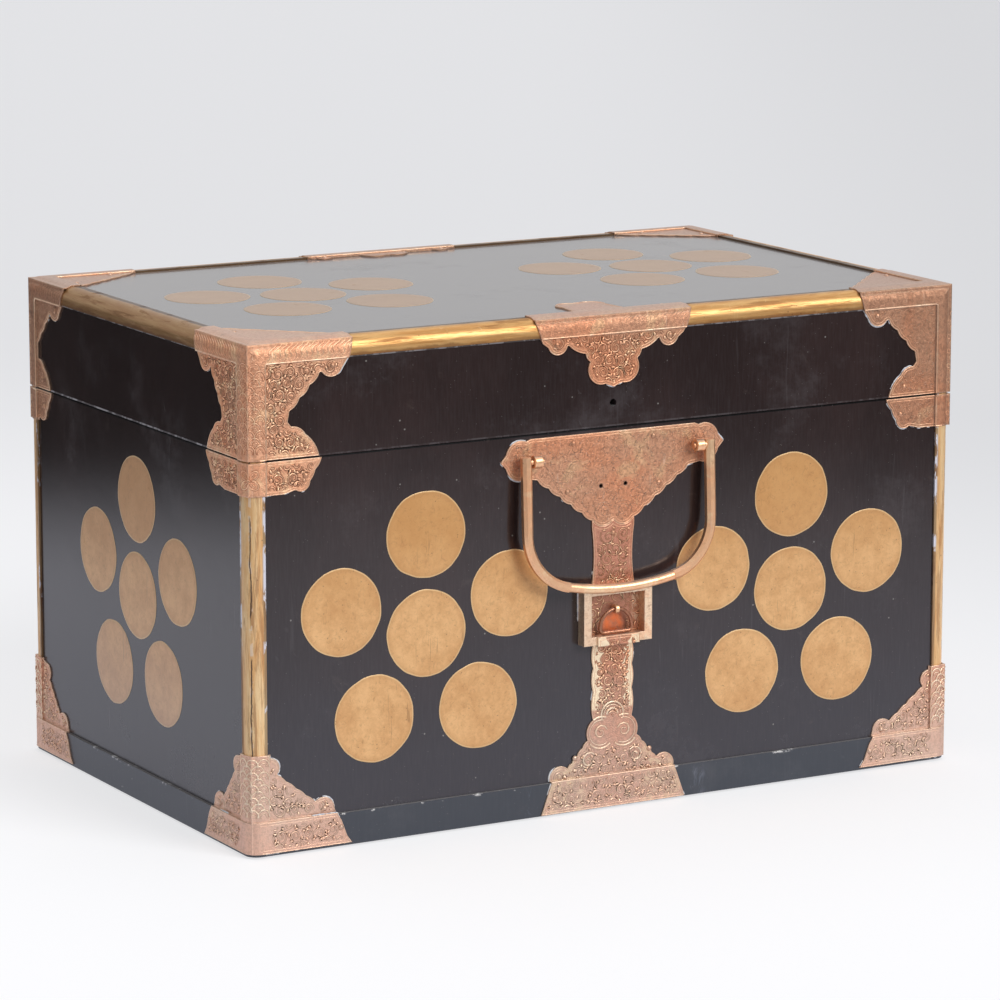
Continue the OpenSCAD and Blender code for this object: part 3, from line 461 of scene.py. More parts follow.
# %% Gilding
def gilding(name, gold, worn_to, pale, share, metal, grain):
    """gold, worn_to and pale are its three colours, and share says how much of it is worn.
    grain is how fast the wear changes along each axis: slowly along the piece of wood."""
    made, tree, shader, place = material(name)
    along = stretch(place, grain)
    long_grain = cloud(along, 1.0, 7, 0.7, 0.3)
    blotches = use(tree, "patches", Place=along, Scale=0.7, Share=share)["Mask"]
    small = use(tree, "patches", Place=along, Scale=3.0, Share=share * 0.8)["Mask"]
    marks = use(tree, "scratches", Place=place, Size=1.6)["Mask"]
    flecks = use(tree, "specks", Place=place, Scale=260.0, Amount=0.10)["Mask"]
    colour = blend(step(long_grain, 0.34, 0.66), srgb(*gold), srgb(*pale))
    colour = coats(colour, (blotches, 0.62, worn_to), (small, 0.45, worn_to),
                   (flecks, 0.5, (96, 62, 38)), (marks, 0.35, (245, 222, 180)))
    roughness = plus(0.34, times(calc("MAXIMUM", blotches, small), 0.22))
    relief = minus(long_grain, times(small, 0.4))
    paint(shader, Base_Color=colour, Roughness=roughness, Metallic=metal,
          Normal=bump(relief, 0.8 * MM, 0.3))
    return made


gilt_bead = gilding("gilt_bead", (198, 142, 80), (146, 98, 54), (222, 176, 114),
                    share=0.50, metal=0.62, grain=(22, 22, 330))
gilt_post = gilding("gilt_post", (230, 174, 112), (160, 108, 68), (246, 212, 160),
                    share=0.54, metal=0.30, grain=(230, 230, 18))
print("gilding:", [m.name for m in (gilt_bead, gilt_post)])

# %% Beads: darker lower edge and painted shade
# The bead is darker along its lower edge. Painted shade darkens it beside the panel, where it stands proud,
# and all along the left bead, which faces away from the lamp
tree, shader, place = open_up(gilt_bead)
x, y, z = axes(place)
in_x = minus(EDGE_X, absolute(x))
in_y = minus(EDGE_Y, absolute(y))
wander = drift(place, 40, 5, 0.65, 6 * MM)
lower = step(plus(z, wander), BEAD_Z + 3.2 * MM, BEAD_Z + 0.8 * MM)
# Painted shade: a dark contact shadow on the bead where it meets the panel
inner = step(plus(calc("MINIMUM", in_x, in_y), wander), 9.5 * MM, 11 * MM)
# Painted shade: the left bead is darkened because it faces away from the lamp
dull = step(x, 2 * ROUND - EDGE_X, ROUND - EDGE_X)
more_coats(shader, (dull, 0.50, (98, 74, 54)), (lower, 0.62, (104, 62, 34)),
           (inner, 0.85, (56, 40, 34)))
print("beads:", len(tree.nodes), "shader nodes")

# %% Cracked posts
# The gilding has split along the outer corner of each post and chipped beside the boards
tree, shader, place = open_up(gilt_post)
x, y, z = axes(place)
in_x = minus(EDGE_X, absolute(x))
in_y = minus(EDGE_Y, absolute(y))
off_line = absolute(plus(minus(in_x, in_y), drift(place, 55, 4, 0.6, 5 * MM)))
split = step(cloud(place, 24, 2, 0.5), 0.40, 0.46)
crack = times(step(off_line, 0.95 * MM, 0.45 * MM), split)
lifted = times(step(off_line, 2.0 * MM, 1.3 * MM),
               step(cloud(place, 70, 3, 0.6), 0.52, 0.58))
inner = step(calc("MAXIMUM", in_x, in_y), 10.6 * MM, 12.2 * MM)
many = times(step(z, 0.16, 0.25), 0.12)
chips = step(plus(many, cloud(stretch(place, (150, 150, 50)), 1.0, 4, 0.65)), 0.56, 0.62)
more_coats(shader, (lifted, 0.55, (240, 224, 206)), (crack, 0.92, (58, 36, 28)),
           (inner, 0.60, (74, 50, 42)), (times(inner, chips), 1.0, (226, 224, 232)))
print("posts:", len(tree.nodes), "shader nodes")

# %% Gold leaf
# The leaf is deeper in tone higher up, brown in its scratches, and pale along the cut edge
gold_leaf, tree, shader, place = material("gold_leaf")
x, y, z = axes(place)
mottle = cloud(place, 40, 10, 0.78)
stain = use(tree, "patches", Place=place, Scale=70.0, Share=0.34)["Mask"]
flecks = use(tree, "specks", Place=place, Scale=330.0, Amount=0.09)["Mask"]
marks = use(tree, "scratches", Place=place, Size=2.4)["Mask"]
low, flat = use(tree, "dust", Place=place, Top=0.17)
brushed = step(cloud(place, 230, 5, 0.75, 1.6), 0.52, 0.64)
rim = node(tree, "ShaderNodeAttribute", attribute_name="rim").outputs["Fac"]
ragged = plus(rim, times(minus(mottle, 0.5), 0.30))
at_end = step(absolute(x), BODY_X - 2 * MM, BODY_X - 1 * MM)
hazy = times(at_end, plus(0.12, times(low, 0.25)))
colour = blend(step(mottle, 0.34, 0.66), srgb(214, 160, 104), srgb(240, 190, 132))
colour = coats(colour, (step(z, 0.15, 0.24), 0.65, (204, 146, 82)),
               (stain, 0.30, (166, 114, 68)), (brushed, 0.26, (158, 110, 64)),
               (step(ragged, 0.84, 1.0), 0.26, (176, 122, 72)),
               (step(rim, 0.962, 0.978), 0.55, (244, 210, 156)),
               (flecks, 0.50, (120, 80, 48)), (marks, 0.42, (140, 98, 60)),
               (hazy, 1.0, (196, 180, 178)), (flat, 0.60, (178, 168, 160)))
paint(shader, Base_Color=colour, Roughness=plus(0.40, times(stain, 0.2)), Metallic=0.25,
      Normal=bump(minus(mottle, times(marks, 0.5)), 0.5 * MM, 0.3))
print("gold leaf:", len(tree.nodes), "shader nodes")

# %% [markdown]
# ## Copper
# The mounts were gilded once. Gold is left in the hollows and copper shows pink where hands and
# cloths have rubbed, with brown tarnish between the chased lines.

# %% Copper
def copper(name, rubbed, gilding_left, tarnish, gilt_share, stain_share, roughness,
           punch=0.0, wear=0.0, soften=0.9 * MM, grime=0.30):
    """Three colours, how much of the metal the last two cover, and its roughness. punch is how deep the
    punched rings are, wear how bright the worn edges are, partly as a painted highlight, soften how round
    they look, grime how dark the pores."""
    made, tree, shader, place = material(name)
    broad = step(cloud(place, 13, 5, 0.6, 0.6), 0.38, 0.64)
    gilt = use(tree, "patches", Place=place, Scale=42.0, Share=gilt_share)["Mask"]
    stain = use(tree, "patches", Place=place, Scale=60.0, Share=stain_share)["Mask"]
    pores = step(cloud(place, 400, 5, 0.75), 0.45, 0.60)
    marks = use(tree, "scratches", Place=place, Size=2.2)["Mask"]
    rings = use(tree, "punched", Place=place, Scale=900.0)["Height"]
    low, flat = use(tree, "dust", Place=place, Top=0.13)
    redder = [v * f for v, f in zip(srgb(*rubbed), (1.10, 0.92, 0.82, 1.0))]
    colour = coats(blend(broad, srgb(*rubbed), redder),
                   (gilt, 0.50, gilding_left), (stain, 0.50, tarnish), (pores, grime, tarnish),
                   (marks, 0.30, (248, 224, 200)), (low, 0.42, (206, 192, 178)),
                   (flat, 0.55, (206, 186, 174)))
    tone = plus(roughness, times(calc("MAXIMUM", stain, pores), 0.14))
    relief = plus(times(rings, punch), times(cloud(place, 60, 3, 0.6), 0.7))
    uneven = bump(relief, 0.7 * MM, 0.5)
    if wear:
        edges, soft = use(tree, "edge_wear_and_highlight", Radius=soften)
        # Worn edges, made pale partly as a painted highlight
        colour = coats(colour, (edges, wear, (246, 226, 200)))
        tree.links.new(soft, uneven.node.inputs["Normal"])
    paint(shader, Base_Color=colour, Roughness=tone, Metallic=0.80, Normal=uneven)
    return made


ROLLED = {"punch": 0.7, "wear": 0.30, "soften": 2.2 * MM}
sheet_copper = copper("sheet_copper", (200, 149, 118), (222, 184, 142), (108, 74, 56),
                      0.50, 0.32, 0.38, grime=0.36, **ROLLED)
rubbed_copper = copper("rubbed_copper", (220, 166, 132), (238, 200, 156), (120, 82, 62),
                       0.50, 0.30, 0.38, grime=0.32, **ROLLED)
dull_copper = copper("dull_copper", (180, 134, 106), (200, 160, 124), (98, 68, 52),
                     0.42, 0.40, 0.40, grime=0.40, **ROLLED)
pale_copper = copper("pale_copper", (216, 168, 142), (234, 200, 164), (134, 96, 78),
                     0.40, 0.30, 0.40, punch=0.5, wear=0.30, grime=0.34)
gilt_copper = copper("gilt_copper", (236, 206, 174), (252, 236, 206), (150, 106, 78),
                     0.66, 0.32, 0.38, wear=0.5)
nail_copper = copper("nail_copper", (196, 150, 120), (222, 186, 144), (104, 76, 58),
                     0.40, 0.44, 0.36, wear=0.5)
forged_copper = copper("forged_copper", (238, 188, 146), (252, 222, 178), (112, 74, 54),
                       0.50, 0.34, 0.30, grime=0.08)
ring_copper = copper("ring_copper", (166, 116, 90), (206, 158, 122), (84, 54, 40),
                     0.30, 0.50, 0.26, grime=0.10)
chased_gilt = copper("chased_gilt", (230, 184, 150), (248, 220, 180), (158, 114, 86),
                     0.58, 0.18, 0.34, grime=0.18)
worn_rim = copper("worn_rim", (228, 190, 158), (248, 228, 200), (160, 118, 90),
                  0.52, 0.18, 0.34, grime=0.20)
red_ground = copper("red_ground", (178, 112, 80), (200, 136, 96), (132, 84, 62), 0.34, 0.30, 0.44)
dark_ground = copper("dark_ground", (158, 112, 86), (186, 142, 106), (112, 76, 58), 0.34, 0.30, 0.48)
print("copper:", sorted(m.name for m in bpy.data.materials if "copper" in m.name))

# %% Banded copper of the foot mounts
# Gilding is left in a scalloped band down both sides of the strap, and on the lobes at its foot
banded_copper = copper("banded_copper", (196, 142, 116), (214, 174, 138), (112, 76, 58),
                       0.40, 0.34, 0.38, punch=0.7, wear=0.30, grime=0.42)
tree, shader, place = open_up(banded_copper)
x, y, z = axes(place)
from_middle = absolute(x)
scallop = absolute(calc("SINE", times(z, math.pi / (9 * MM))))
inner_edge = plus(7.4 * MM, times(scallop, 3.4 * MM))
band = times(step(minus(from_middle, inner_edge), -0.6 * MM, 0.6 * MM),
             step(z, 73 * MM, 76 * MM), step(cloud(place, 110, 5, 0.7), 0.30, 0.40))
lobe = times(step(from_middle, 20 * MM, 30 * MM),
             step(cloud(place, 90, 6, 0.75), 0.44, 0.56))
more_coats(shader, (band, 0.85, (244, 226, 192)), (lobe, 0.45, (226, 206, 168)))
print("foot mounts:", len(tree.nodes), "shader nodes")

# %% Copper behind the lock ring
# The pocket behind the ring is painted darker as shade, and painted red where the ring throws light back
RING_Z = 139 * MM
pocket_copper = copper("pocket_copper", (196, 140, 116), (214, 168, 132), (128, 82, 64),
                       0.20, 0.30, 0.40, punch=0.5, wear=0.30, grime=0.36)
tree, shader, place = open_up(pocket_copper)
x, y, z = axes(place)
# Painted shade inside the pocket behind the ring
inside = times(step(z, 129 * MM, 132 * MM), step(z, 166 * MM, 163 * MM))
from_ring = distance(x, minus(z, RING_Z))
# Painted reflection: red light that the ring throws back onto the pocket
glow = times(step(from_ring, 12 * MM, 5 * MM),
             step(cloud(place, 150, 4, 0.6), 0.22, 0.62))
rubbed_corner = times(step(absolute(x), 15 * MM, 18 * MM),
                      step(cloud(place, 60, 5, 0.7), 0.46, 0.54),
                      step(z, 196 * MM, 178 * MM))
more_coats(shader, (rubbed_corner, 0.7, (240, 218, 186)), (inside, 0.40, (136, 92, 72)),
           (glow, 0.80, (232, 118, 60)))
print("lock straps:", len(tree.nodes), "shader nodes")

# %% Dried polish
# White and chalky, for the broken lines round the mounts
residue, tree, shader, place = material("residue")
tone = cloud(place, 300, 4, 0.6)
paint(shader, Base_Color=blend(step(tone, 0.4, 0.6), srgb(216, 218, 228), srgb(246, 245, 244)),
      Roughness=0.8, Normal=bump(tone, 0.5 * MM, 0.5))
print("materials:", len(bpy.data.materials))

# %% Finishes on the solids
def worn_plain(name):
    """The lid and seam corners away from the near edge have been polished almost smooth."""
    return "_corner_" in name and not name.startswith("foot") and "front_left" not in name


finish = {"black_lacquer": black_lacquer, "plinth_lacquer": plinth_lacquer, "inner_lacquer": inner_lacquer,
          "gilt_wood": gilt_bead, "gold_leaf": gold_leaf, "sheet_copper": sheet_copper,
          "red_copper": pocket_copper, "gilt_copper": gilt_copper, "forged_copper": forged_copper,
          "nail_copper": nail_copper}
special = {"post": gilt_post, "foot_mount": banded_copper, "foot_corner": pale_copper,
           "lid_corner_front_left": rubbed_copper, "seam_corner_front_left": rubbed_copper,
           "lock_ring": ring_copper}
for entry in frame["record"]["subparts"]:
    name = entry["node"]
    solid = nodes[name]
    solid.data.materials.clear()
    chosen = finish[entry["material_slot"]]
    for part, other in special.items():
        chosen = other if part in name else chosen
    # The back mount of the lid takes the darker copper as painted shade
    if chosen is sheet_copper and (worn_plain(name) or name == "lid_mount_back"):
        chosen = dull_copper
    solid.data.materials.append(chosen)
    if "lock_ring" in name:
        swell = solid.modifiers.new("swell", "DISPLACE")
        swell.mid_level, swell.strength = 0.0, 0.35 * MM      # the photo's ring is a little stouter

# %% [markdown]
# ## Where the sheets end
# Every mount has a raised rim, so the lesson needs the outlines as lines in space. They are read
# from the solids themselves: an outer face of a sheet meets either its own cut edge, which is one
# sheet deep, or a fold, which steps down further.

# %% Edges of a sheet
CORE = Vector((286 * MM, 175 * MM, 357 * MM))     # a block inside the trunk, within its rounded edges
WELD = 0.005 * MM                                 # corners closer than this are one corner


def outward(point):
    """The direction that leads out of the trunk at a point on its skin."""
    core = Vector([max(-c, min(c, p)) for p, c in zip(point, CORE)])
    return (point - core).normalized()


def edges_of(name):
    """Two lists of short lines on a mount: its cut edge, and its folds.
    Each line is (start, end, direction out of the trunk, direction in over the sheet)."""
    solid = nodes[name]
    mesh = bmesh.new()
    mesh.from_mesh(solid.data)
    mesh.transform(solid.matrix_world)
    bmesh.ops.remove_doubles(mesh, verts=mesh.verts, dist=WELD)
    cut, folds = [], []
    for edge in mesh.edges:
        if len(edge.link_faces) != 2:
            continue
        for face, wall in (edge.link_faces, reversed(edge.link_faces)):
            out = outward((edge.verts[0].co + edge.verts[1].co) / 2)
            if face.normal.dot(out) < 0.6 or abs(wall.normal.dot(out)) > 0.4:
                continue                              # not an outer face beside a wall
            heights = [v.co.dot(out) for v in wall.verts]
            rim = edge.verts[0].co.dot(out)
            if max(heights) > rim + 0.2 * MM:
                continue                              # the wall goes up from here, not down
            depth = rim - min(heights)
            line = (edge.verts[0].co.copy(), edge.verts[1].co.copy(), face.normal.copy(), -wall.normal)
            if depth < SHEET_T + 0.3 * MM:
                cut.append(line)
            elif depth < 3 * SHEET_T + 0.2 * MM:
                folds.append(line)
    mesh.free()
    return cut, folds


# %% Chains of edges
def chains(lines, shortest):
    """Joins short lines end to end, and drops chains shorter than shortest, such as nail holes."""
    def key(point):
        return tuple(round(c / (0.02 * MM)) for c in point)

    at = {}
    for number, line in enumerate(lines):
        for point in line[:2]:
            at.setdefault(key(point), []).append(number)
    unused, found = set(range(len(lines))), []
    while unused:
        first = unused.pop()
        run = [(first, lines[first][0], lines[first][1])]
        for forward in (True, False):
            while True:
                tip = run[-1][2] if forward else run[0][1]
                onward = [n for n in at[key(tip)] if n in unused]
                if not onward:
                    break
                number = onward[0]
                unused.discard(number)
                a, b = lines[number][:2]
                if (key(a) == key(tip)) != forward:
                    a, b = b, a
                if forward:
                    run.append((number, a, b))
                else:
                    run.insert(0, (number, a, b))
        if sum((b - a).length for n, a, b in run) > shortest:
            found.append([(a, b, lines[n][2], lines[n][3]) for n, a, b in run])
    return found


def walk(chain, pitch):
    """Points about pitch apart along a chain, each with its out and in directions."""
    points, due = [], 0.0
    for a, b, out, inward in chain:
        length = (b - a).length
        while due <= length:
            points.append((a.lerp(b, due / length if length else 0.0), out, inward))
            due += pitch
        due -= length
    return points


# %% The mounts
SHORTEST_RIM, SHORTEST_FOLD = 22 * MM, 8 * MM     # shorter ones are nail holes and small steps
RAY = 30                                          # rays start this many mm outside the sheet


class Sheet:
    """One mount: rays to find its surface, and its edges to keep lines clear of."""

    def __init__(self, name):
        solid = nodes[name]
        points = [solid.matrix_world @ v.co for v in solid.data.vertices]
        self.tree = BVHTree.FromPolygons(points, [p.vertices for p in solid.data.polygons])
        cut, folds = edges_of(name)
        self.rims = chains(cut, SHORTEST_RIM)
        self.folds = chains(folds, SHORTEST_FOLD)
        self.box = [Vector(c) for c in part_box(name)]
        marks = [p for c in self.rims for p, out, inward in walk(c, 0.6 * MM)]
        self.rim_points = KDTree(len(marks))
        for number, mark in enumerate(marks):
            self.rim_points.insert(mark, number)
        self.rim_points.balance()

    def touch(self, point, facing):
        """The sheet's surface under a point, seen against facing, or None."""
        hit, normal, face, far = self.tree.ray_cast(point + facing * RAY * MM, -facing, 1.5 * RAY * MM)
        return hit if hit and normal.dot(facing) > 0.3 else None

    def margin(self, point):
        """How far a point is from the sheet's cut edge."""
        return self.rim_points.find(point)[2]


sheets = {name: Sheet(name) for name in nodes
          if any(k in name for k in ("_corner_", "_mount_", "handle_plate", "lock_strap"))
          and "post" not in name}
print(len(sheets), "mounts,", sum(len(s.rims) for s in sheets.values()), "rims,",
      sum(len(s.folds) for s in sheets.values()), "folds")

# %% [markdown]
# ## Chased lines
# A chased line is a thin round ridge, half sunk in the sheet. All lines of one kind on a mount
# are splines of one curve, which is then turned into a mesh.

# %% Lines as pieces
def held(point, reach):
    """The same point, or the nearest one that lies this far inside the box of the solids."""
    return Vector([max(low + reach, min(high - reach, c)) for c, low, high in zip(point, *cad_box)])


def body_of(name):
    """The body that a solid moves with, and the pieces that are named after it."""
    return "lid" if name.startswith("lid_") else "case"


def add_piece(name, mesh, finish_mat):
    """Makes a mesh a piece in one finish, on the body that its name tells."""
    body = body_of(name)
    piece = bpy.data.objects.new(name, mesh)
    bpy.context.scene.collection.objects.link(piece)
    mesh.materials.clear()
    mesh.materials.append(finish_mat)
    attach(piece, body)
    return piece


def ridge_piece(name, lines, radius, finish_mat, sides=0):
    """A piece made of round ridges along lines of points, each point with its own share of radius."""
    data = bpy.data.curves.new(name, "CURVE")
    data.dimensions = "3D"
    data.bevel_depth = radius
    data.bevel_resolution = sides
    data.use_fill_caps = True
    for line in (run for run in lines if len(run) > 1):
        spline = data.splines.new("POLY")
        spline.points.add(len(line) - 1)
        for slot, (point, share) in zip(spline.points, line):
            slot.co = (*held(point, radius * share * 1.1), 1.0)
            slot.radius = share
    draft = bpy.data.objects.new(name + "_draft", data)
    bpy.context.scene.collection.objects.link(draft)
    shape = bpy.data.meshes.new_from_object(draft.evaluated_get(bpy.context.evaluated_depsgraph_get()))
    bpy.data.objects.remove(draft)
    bpy.data.curves.remove(data)
    shape.name = name
    for face in shape.polygons:
        face.use_smooth = True
    return add_piece(name, shape, finish_mat)


# %% Ribbons under the ridges
RIBBON_TOP, RIBBON_FOOT = 0.07 * MM, -0.30 * MM       # above and below the face of the sheet


def ribbon_piece(name, lines, radius, finish_mat, spread=0.45 * MM):
    """A flat band under each ridge, a little wider than the ridge, that stands just clear of the sheet."""
    corners, faces = [], []
    for line in lines:
        first = len(corners)
        for number, (point, share) in enumerate(line):
            onward = line[min(number + 1, len(line) - 1)][0] - line[max(number - 1, 0)][0]
            out = outward(point)
            side = out.cross(onward).normalized() * (radius * share + spread)
            for height, way in ((RIBBON_TOP, -1), (RIBBON_TOP, 1), (RIBBON_FOOT, 1), (RIBBON_FOOT, -1)):
                corners.append(point + side * way + out * height)
        last = len(corners) - 4
        for start in range(first, last, 4):
            for k in range(4):
                faces.append((start + k, start + (k + 1) % 4, start + 4 + (k + 1) % 4, start + 4 + k))
        faces.append((first + 3, first + 2, first + 1, first))
        faces.append((last, last + 1, last + 2, last + 3))
    shape = bpy.data.meshes.new(name)
    shape.from_pydata(corners, [], faces)
    check = bmesh.new()
    check.from_mesh(shape)
    bmesh.ops.recalc_face_normals(check, faces=check.faces)
    check.to_mesh(shape)
    check.free()
    return add_piece(name, shape, finish_mat)


def beside(sheet, chain, inset, pitch, lift=0.0):
    """Lines that follow a cut edge at a distance, over the sheet, broken where a notch is too tight."""
    lines, line = [], []
    for point, out, inward in walk(chain, pitch):
        spot = point + inward * inset
        hit = sheet.touch(spot, out)
        if hit and sheet.margin(hit) > inset * 0.93:
            hit = hit + out * lift
            if line and (line[-1][0] - hit).length > 5 * pitch:
                lines.append(line)
                line = []
            line.append((hit, 1.0))
    lines.append(line)
    return [line for line in lines if len(line) > 2]


# %% Rims and folds
RIM_INSET, BORDER_INSET, FOLD_INSET = 0.42 * MM, 2.3 * MM, 0.35 * MM
rim_total = 0
for name, sheet in sheets.items():
    rim = [line for chain in sheet.rims for line in beside(sheet, chain, RIM_INSET, 0.9 * MM, -0.12 * MM)]
    rim_total += len(rim)
    # The back mount of the lid gets a dark rim, a painted shadow along its edge
    ridge_piece(name + "_rim", rim, 0.45 * MM, dark_ground if name == "lid_mount_back" else worn_rim)
    border = [line for chain in sheet.rims
              for line in beside(sheet, chain, BORDER_INSET, 1.1 * MM, -0.1 * MM)]
    ridge_piece(name + "_border", border, 0.30 * MM, chased_gilt)
    folds = [[(point - out * FOLD_INSET + inward * FOLD_INSET, 1.0)
              for point, out, inward in walk(chain, 2.0 * MM)] for chain in sheet.folds]
    if folds:
        ridge_piece(name + "_fold", folds, 0.62 * MM, worn_rim, 1)
print("rim lines:", rim_total)

# %% [markdown]
# ## Scrolls
# The sheets are chased all over with vine scrolls, small curls with leaves that fill the sheet up
# to its border. A curl is drawn flat and then dropped onto the sheet along the way it faces, so
# it follows every step of the metal. A wider dark line below each curl is the punched ground.

# %% Curls on a flat field
def curl(u, v, size, turn, start, turns=1.3, steps=13):
    """A spiral about (u, v), from its outer end to its bud, as (u, v, share of the line's radius)."""
    points = []
    for number in range(steps + 1):
        part = number / steps
        angle = start + turn * part * turns * 2 * math.pi
        far = size * (1.0 - 0.80 * part)
        share = 0.55 + 0.45 * math.sin(math.pi * min(1.0, part * 1.4 + 0.1))
        points.append((u + far * math.cos(angle), v + far * math.sin(angle), share))
    points[-1] = (*points[-1][:2], 1.5)
    return points


def leaf(u, v, angle, length, bend):
    """A short comma that swells in the middle and ends in a point."""
    points = []
    for number in range(5):
        part = number / 4
        way = angle + bend * part
        points.append((u, v, 0.30 + 1.5 * math.sin(math.pi * (0.15 + 0.8 * part))))
        u += length / 4 * math.cos(way)
        v += length / 4 * math.sin(way)
    return points


# %% A field of vines
def vine_field(low, high, pitch, seed):
    """Curls with leaves and stems on a grid of staggered rows that covers a box."""
    dice = random.Random(seed)
    found, row = [], 0
    v = low[1] - pitch / 2
    while v < high[1] + pitch:
        u = low[0] - pitch / 2 + (row % 2) * pitch / 2
        side = 1 if row % 2 else -1
        while u < high[0] + pitch:
            cu = u + dice.uniform(-0.16, 0.16) * pitch
            cv = v + dice.uniform(-0.16, 0.16) * pitch
            size = pitch * dice.uniform(0.32, 0.46)
            start = dice.uniform(0, 2 * math.pi)
            found.append(curl(cu, cv, size, side, start))
            for k in range(3):
                at = start + side * (0.9 + 1.5 * k) + dice.uniform(-0.3, 0.3)
                far = size * 1.08
                found.append(leaf(cu + far * math.cos(at), cv + far * math.sin(at),
                                  at + side * 0.9, pitch * 0.30, side * 1.4))
            found.append([(cu + size * (1 + 0.45 * t) * math.cos(start - side * 1.5 * t),
                           cv + size * (1 + 0.45 * t) * math.sin(start - side * 1.5 * t), 0.6)
                          for t in (0, 0.33, 0.66, 1.0)])
            side = -side
            u += pitch
        v += pitch * 0.80
        row += 1
    return found


# %% Laying lines on a sheet
def lay(sheet, drawn, facing, across, upward, inside, keep=None):
    """Drops flat lines onto a sheet, and cuts them where they would leave it or reach its border."""
    laid = []
    top = max(c.dot(facing) for c in sheet.box)
    for flat in drawn:
        run = []
        for u, v, share in flat:
            point = across * u + upward * v + facing * top
            hit = sheet.touch(point, facing)
            good = hit and sheet.margin(hit) > inside and (keep is None or keep(hit))
            if good and run and (run[-1][0] - hit).length > 4 * MM:
                good = False
            if good:
                run.append((hit, share))
            else:
                if len(run) > 2:
                    laid.append(run)
                run = []
        if len(run) > 2:
            laid.append(run)
    return laid


# %% Scrolls on a sheet
# For each side of the trunk: the way it faces, the way that is across it, and the way up
SIDES = {"front": (FRONT, RIGHT, UP), "back": (BACK, LEFT, UP), "left": (LEFT, FRONT, UP),
         "right": (RIGHT, BACK, UP)}
CLOUD_Z, CLOUD_LOBE, CLOUD_U = 57 * MM, 13 * MM, 10 * MM     # the cloud on the foot mounts
FLAT_X, FLAT_Y = 283.6 * MM, 173.2 * MM                      # the posts begin beyond these


def on_panel(point):
    """True on the flat parts of a mount, away from the posts, the beads and the folds."""
    if point.z > BEAD_Z - 2 * MM or abs(point.z - PLINTH_Z) < 1.2 * MM:
        return False
    front = abs(point.y) > BODY_Y
    from_cloud = math.hypot(abs(point.x) - CLOUD_U, point.z - CLOUD_Z)
    if front and point.z > PLINTH_Z and from_cloud < 14 * MM:
        return False
    return abs(point.x) < FLAT_X if front else abs(point.y) < FLAT_Y


def span(sheet, way):
    """Where a sheet begins and ends along a direction."""
    reach = [c.dot(way) for c in sheet.box]
    return min(reach), max(reach)


def sunk(lines, depth):
    """The same lines, let into the sheet."""
    return [[(p - outward(p) * depth, share) for p, share in line] for line in lines]


def scrolls(name, sides, pitch, radius, seed, border, keep=on_panel, dark=True):
    """Fills the sides of a mount with scrolls, gilt over a dark ground or worn down to bare sheet."""
    sheet, lines = sheets[name], []
    for number, side in enumerate(sides):
        facing, across, upward = SIDES[side]
        (u0, u1), (v0, v1) = span(sheet, across), span(sheet, upward)
        field = vine_field((u0, v0), (u1, v1), pitch, seed + number)
        lines += lay(sheet, field, facing, across, upward, border, keep)
    ridge_piece(name + "_scrolls", sunk(lines, radius * 0.30), radius, chased_gilt if dark else sheet_copper)
    if dark:
        ribbon_piece(name + "_ground", lines, radius, dark_ground)
    return len(lines)


def in_the_open(point):
    """False where the lock ring hangs: the sheet behind it is plain."""
    return on_panel(point) and not (abs(point.x) < 10 * MM and 127 * MM < point.z < 153 * MM)


def sides_of(name):
    """The faces of the trunk that a mount lies on."""
    low, high = sheets[name].box
    found = ["front" if low.y + high.y < 0 else "back"]
    if "corner" in name:
        found.append("left" if low.x + high.x < 0 else "right")
    return found


# %% Scrolls on every mount
count = 0
for number, name in enumerate(sorted(sheets)):
    if "plate" in name:
        count += scrolls(name, sides_of(name), 9.0 * MM, 0.32 * MM, number, 3.0 * MM, dark=False)
    elif "strap" in name:
        count += scrolls(name, sides_of(name), 12.0 * MM, 0.42 * MM, number, 3.2 * MM, in_the_open)
    elif worn_plain(name):
        count += scrolls(name, sides_of(name), 7.6 * MM, 0.26 * MM, number, 3.0 * MM, dark=False)
    else:
        count += scrolls(name, sides_of(name), 10.4 * MM, 0.68 * MM, number, 3.2 * MM)
print("lines of scrollwork:", count)

# %% [markdown]
# ## Feathers and petals
# On the rounded rolls over the beads the chasing turns into feathers that lean from the middle
# outwards. The rounded posts carry large petals, and the seam corners a small flower.

# %% Feathers on the rolls
START_ANGLE, LEAN, STEPS = -24, 9 * MM, 8


def roll_line(sheet, centre, along, facing, start, lean, end_angle):
    """A stroke round a roll. centre is a point of the roll's axis, start its place along the axis."""
    line = []
    for number in range(STEPS + 1):
        part = number / STEPS
        angle = math.radians(START_ANGLE + (end_angle - START_ANGLE) * part)
        way = facing * math.cos(angle) + UP * math.sin(angle)
        shift = start + lean * (math.sin(part * math.pi * 0.5) + 0.25 * math.sin(part * math.pi * 3))
        point = centre + along * shift
        hit, normal, face, far = sheet.tree.ray_cast(point + way * RAY * MM, -way, RAY * MM)
        if hit and sheet.margin(hit) > 1.6 * MM:
            line.append((hit - way * 0.15 * MM, 0.15 + 1.0 * math.sin(math.pi * (0.05 + 0.9 * part))))
    return line


def feathers(name, side):
    """Feathers along one roll. At the back they stop lower, out of sight from the front."""
    sheet = sheets[name]
    end_angle = 44 if side == "back" else 56
    facing, across, upward = SIDES[side]
    half = EDGE_Y if side in ("front", "back") else EDGE_X
    other = EDGE_X if side in ("front", "back") else EDGE_Y
    centre = facing * (half - ROUND) + UP * (TOP_Z - ROUND)
    low, high = span(sheet, across)
    low, high = max(low, -other + ROUND), min(high, other - ROUND)
    middle = (low + high) / 2 if "mount" in name else max(low, high, key=abs)
    lines, start = [], low
    while start < high:
        lean = LEAN if start > middle else -LEAN
        lines.append(roll_line(sheet, centre, across, facing, start, lean, end_angle))
        start += 4.2 * MM if "corner" in name else 3.4 * MM
    return [line for line in lines if len(line) > 3]


